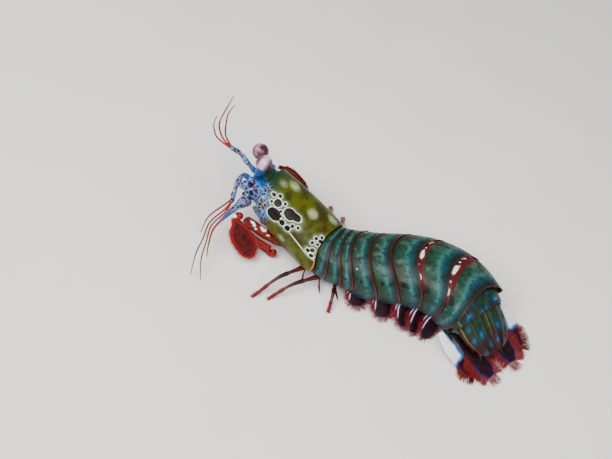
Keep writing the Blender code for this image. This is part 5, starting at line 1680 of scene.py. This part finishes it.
# Name, place, size, share of the set power and colour of each lamp
LAMPS = (
    ("key_lamp", (0.18, 0.3, 0.6), 0.5, 1.0, (1.0, 0.98, 0.95)),
    ("fill_lamp", (-0.4, 0.2, 0.5), 0.6, 0.35, (0.95, 0.97, 1.0)),
)
SKY_COLOUR = (0.93, 0.95, 1.0, 1.0)
SKY_STRENGTH = 0.45
FLOOR_LEVEL = -0.00002
CAMERA_TARGET = (0.03086, -0.01766, 0.0)
CAMERA_TURN = 200.0
CAMERA_RISE = 52.9
CAMERA_DISTANCE = 0.413
CAMERA_ROLL = -14.8
CAMERA_FIELD = 40.0


def make_camera():
    """The photograph's view: back vector from turn and rise, then the right and up vectors rolled"""
    turn, rise, roll = (math.radians(value) for value in (CAMERA_TURN - 90.0, CAMERA_RISE, CAMERA_ROLL))
    back = Vector((math.cos(rise) * math.cos(turn), math.cos(rise) * math.sin(turn), math.sin(rise)))
    right = (-back).cross(Vector((0.0, 0.0, 1.0))).normalized()
    up = right.cross(-back)
    across = right * math.cos(roll) - up * math.sin(roll)
    top = right * math.sin(roll) + up * math.cos(roll)
    data = bpy.data.cameras.new("photo_camera")
    data.sensor_width = 36.0
    data.lens = 0.5 * data.sensor_width / math.tan(math.radians(0.5 * CAMERA_FIELD))
    data.clip_start = 0.01
    camera = bpy.data.objects.new("photo_camera", data)
    place = Vector(CAMERA_TARGET) + back * CAMERA_DISTANCE
    camera.matrix_world = Matrix((
        (across.x, top.x, back.x, place.x),
        (across.y, top.y, back.y, place.y),
        (across.z, top.z, back.z, place.z),
        (0.0, 0.0, 0.0, 1.0)))
    bpy.context.scene.collection.objects.link(camera)
    bpy.context.scene.camera = camera


def make_lamp(name, place, size, power, colour):
    """A soft square lamp aimed at the model's middle"""
    data = bpy.data.lights.new(name, "AREA")
    data.size = size
    data.energy = power
    data.color = colour
    lamp = bpy.data.objects.new(name, data)
    lamp.location = place
    lamp.rotation_mode = "QUATERNION"
    lamp.rotation_quaternion = (-Vector(place)).to_track_quat("-Z", "Y")
    bpy.context.scene.collection.objects.link(lamp)


class SHRIMP_OT_stage(bpy.types.Operator):
    """Make the pale floor, the soft lamps and the camera"""
    bl_idname = "shrimp.stage"
    bl_label = "Stage"

    def execute(self, context):
        sizes = context.scene.shrimp_sizes
        half = 0.5 * sizes.floor_width
        mesh = bpy.data.meshes.new("floor")
        corners = ((-half, -half), (half, -half), (half, half), (-half, half))
        mesh.from_pydata([(x, y, FLOOR_LEVEL) for x, y in corners], [], [(0, 1, 2, 3)])
        mesh.materials.append(floor_finish())
        floor = bpy.data.objects.new("floor", mesh)
        context.scene.collection.objects.link(floor)
        world = bpy.data.worlds.new("studio")
        world.use_nodes = True
        world.node_tree.nodes["Background"].inputs["Color"].default_value = SKY_COLOUR
        world.node_tree.nodes["Background"].inputs["Strength"].default_value = SKY_STRENGTH
        context.scene.world = world
        for name, place, size, share, colour in LAMPS:
            make_lamp(name, place, size, share * sizes.light_power, colour)
        make_camera()
        return {"FINISHED"}


class SHRIMP_PT_panel(bpy.types.Panel):
    """Lists the pieces of the shrimp"""
    bl_idname = "SHRIMP_PT_panel"
    bl_label = "Mantis shrimp"
    bl_space_type = "VIEW_3D"
    bl_region_type = "UI"
    bl_category = "Shrimp"

    def draw(self, context):
        for operator in OPERATORS:
            self.layout.operator(operator.bl_idname)
        self.layout.prop(context.scene.shrimp_sizes, "floor_width")
        self.layout.prop(context.scene.shrimp_sizes, "light_power")
        for key, _, _ in COLOURS:
            self.layout.prop(context.scene.shrimp_colours, key)


OPERATORS = (SHRIMP_OT_carapace, SHRIMP_OT_core, SHRIMP_OT_plates, SHRIMP_OT_tail, SHRIMP_OT_antennae,
             SHRIMP_OT_limbs, SHRIMP_OT_pleopods, SHRIMP_OT_stage)
CLASSES = (ShrimpColours, ShrimpSizes) + OPERATORS + (SHRIMP_PT_panel,)


def register():
    """Register the classes and hang the settings on the scene"""
    for cls in CLASSES:
        bpy.utils.register_class(cls)
    bpy.types.Scene.shrimp_colours = PointerProperty(type=ShrimpColours)
    bpy.types.Scene.shrimp_sizes = PointerProperty(type=ShrimpSizes)


def unregister():
    """Take the settings and classes away again"""
    del bpy.types.Scene.shrimp_sizes
    del bpy.types.Scene.shrimp_colours
    for cls in reversed(CLASSES):
        bpy.utils.unregister_class(cls)


def main():
    register()
    for operator in OPERATORS:
        group, name = operator.bl_idname.split(".")
        getattr(getattr(bpy.ops, group), name)()


if __name__ == "__main__":
    main()
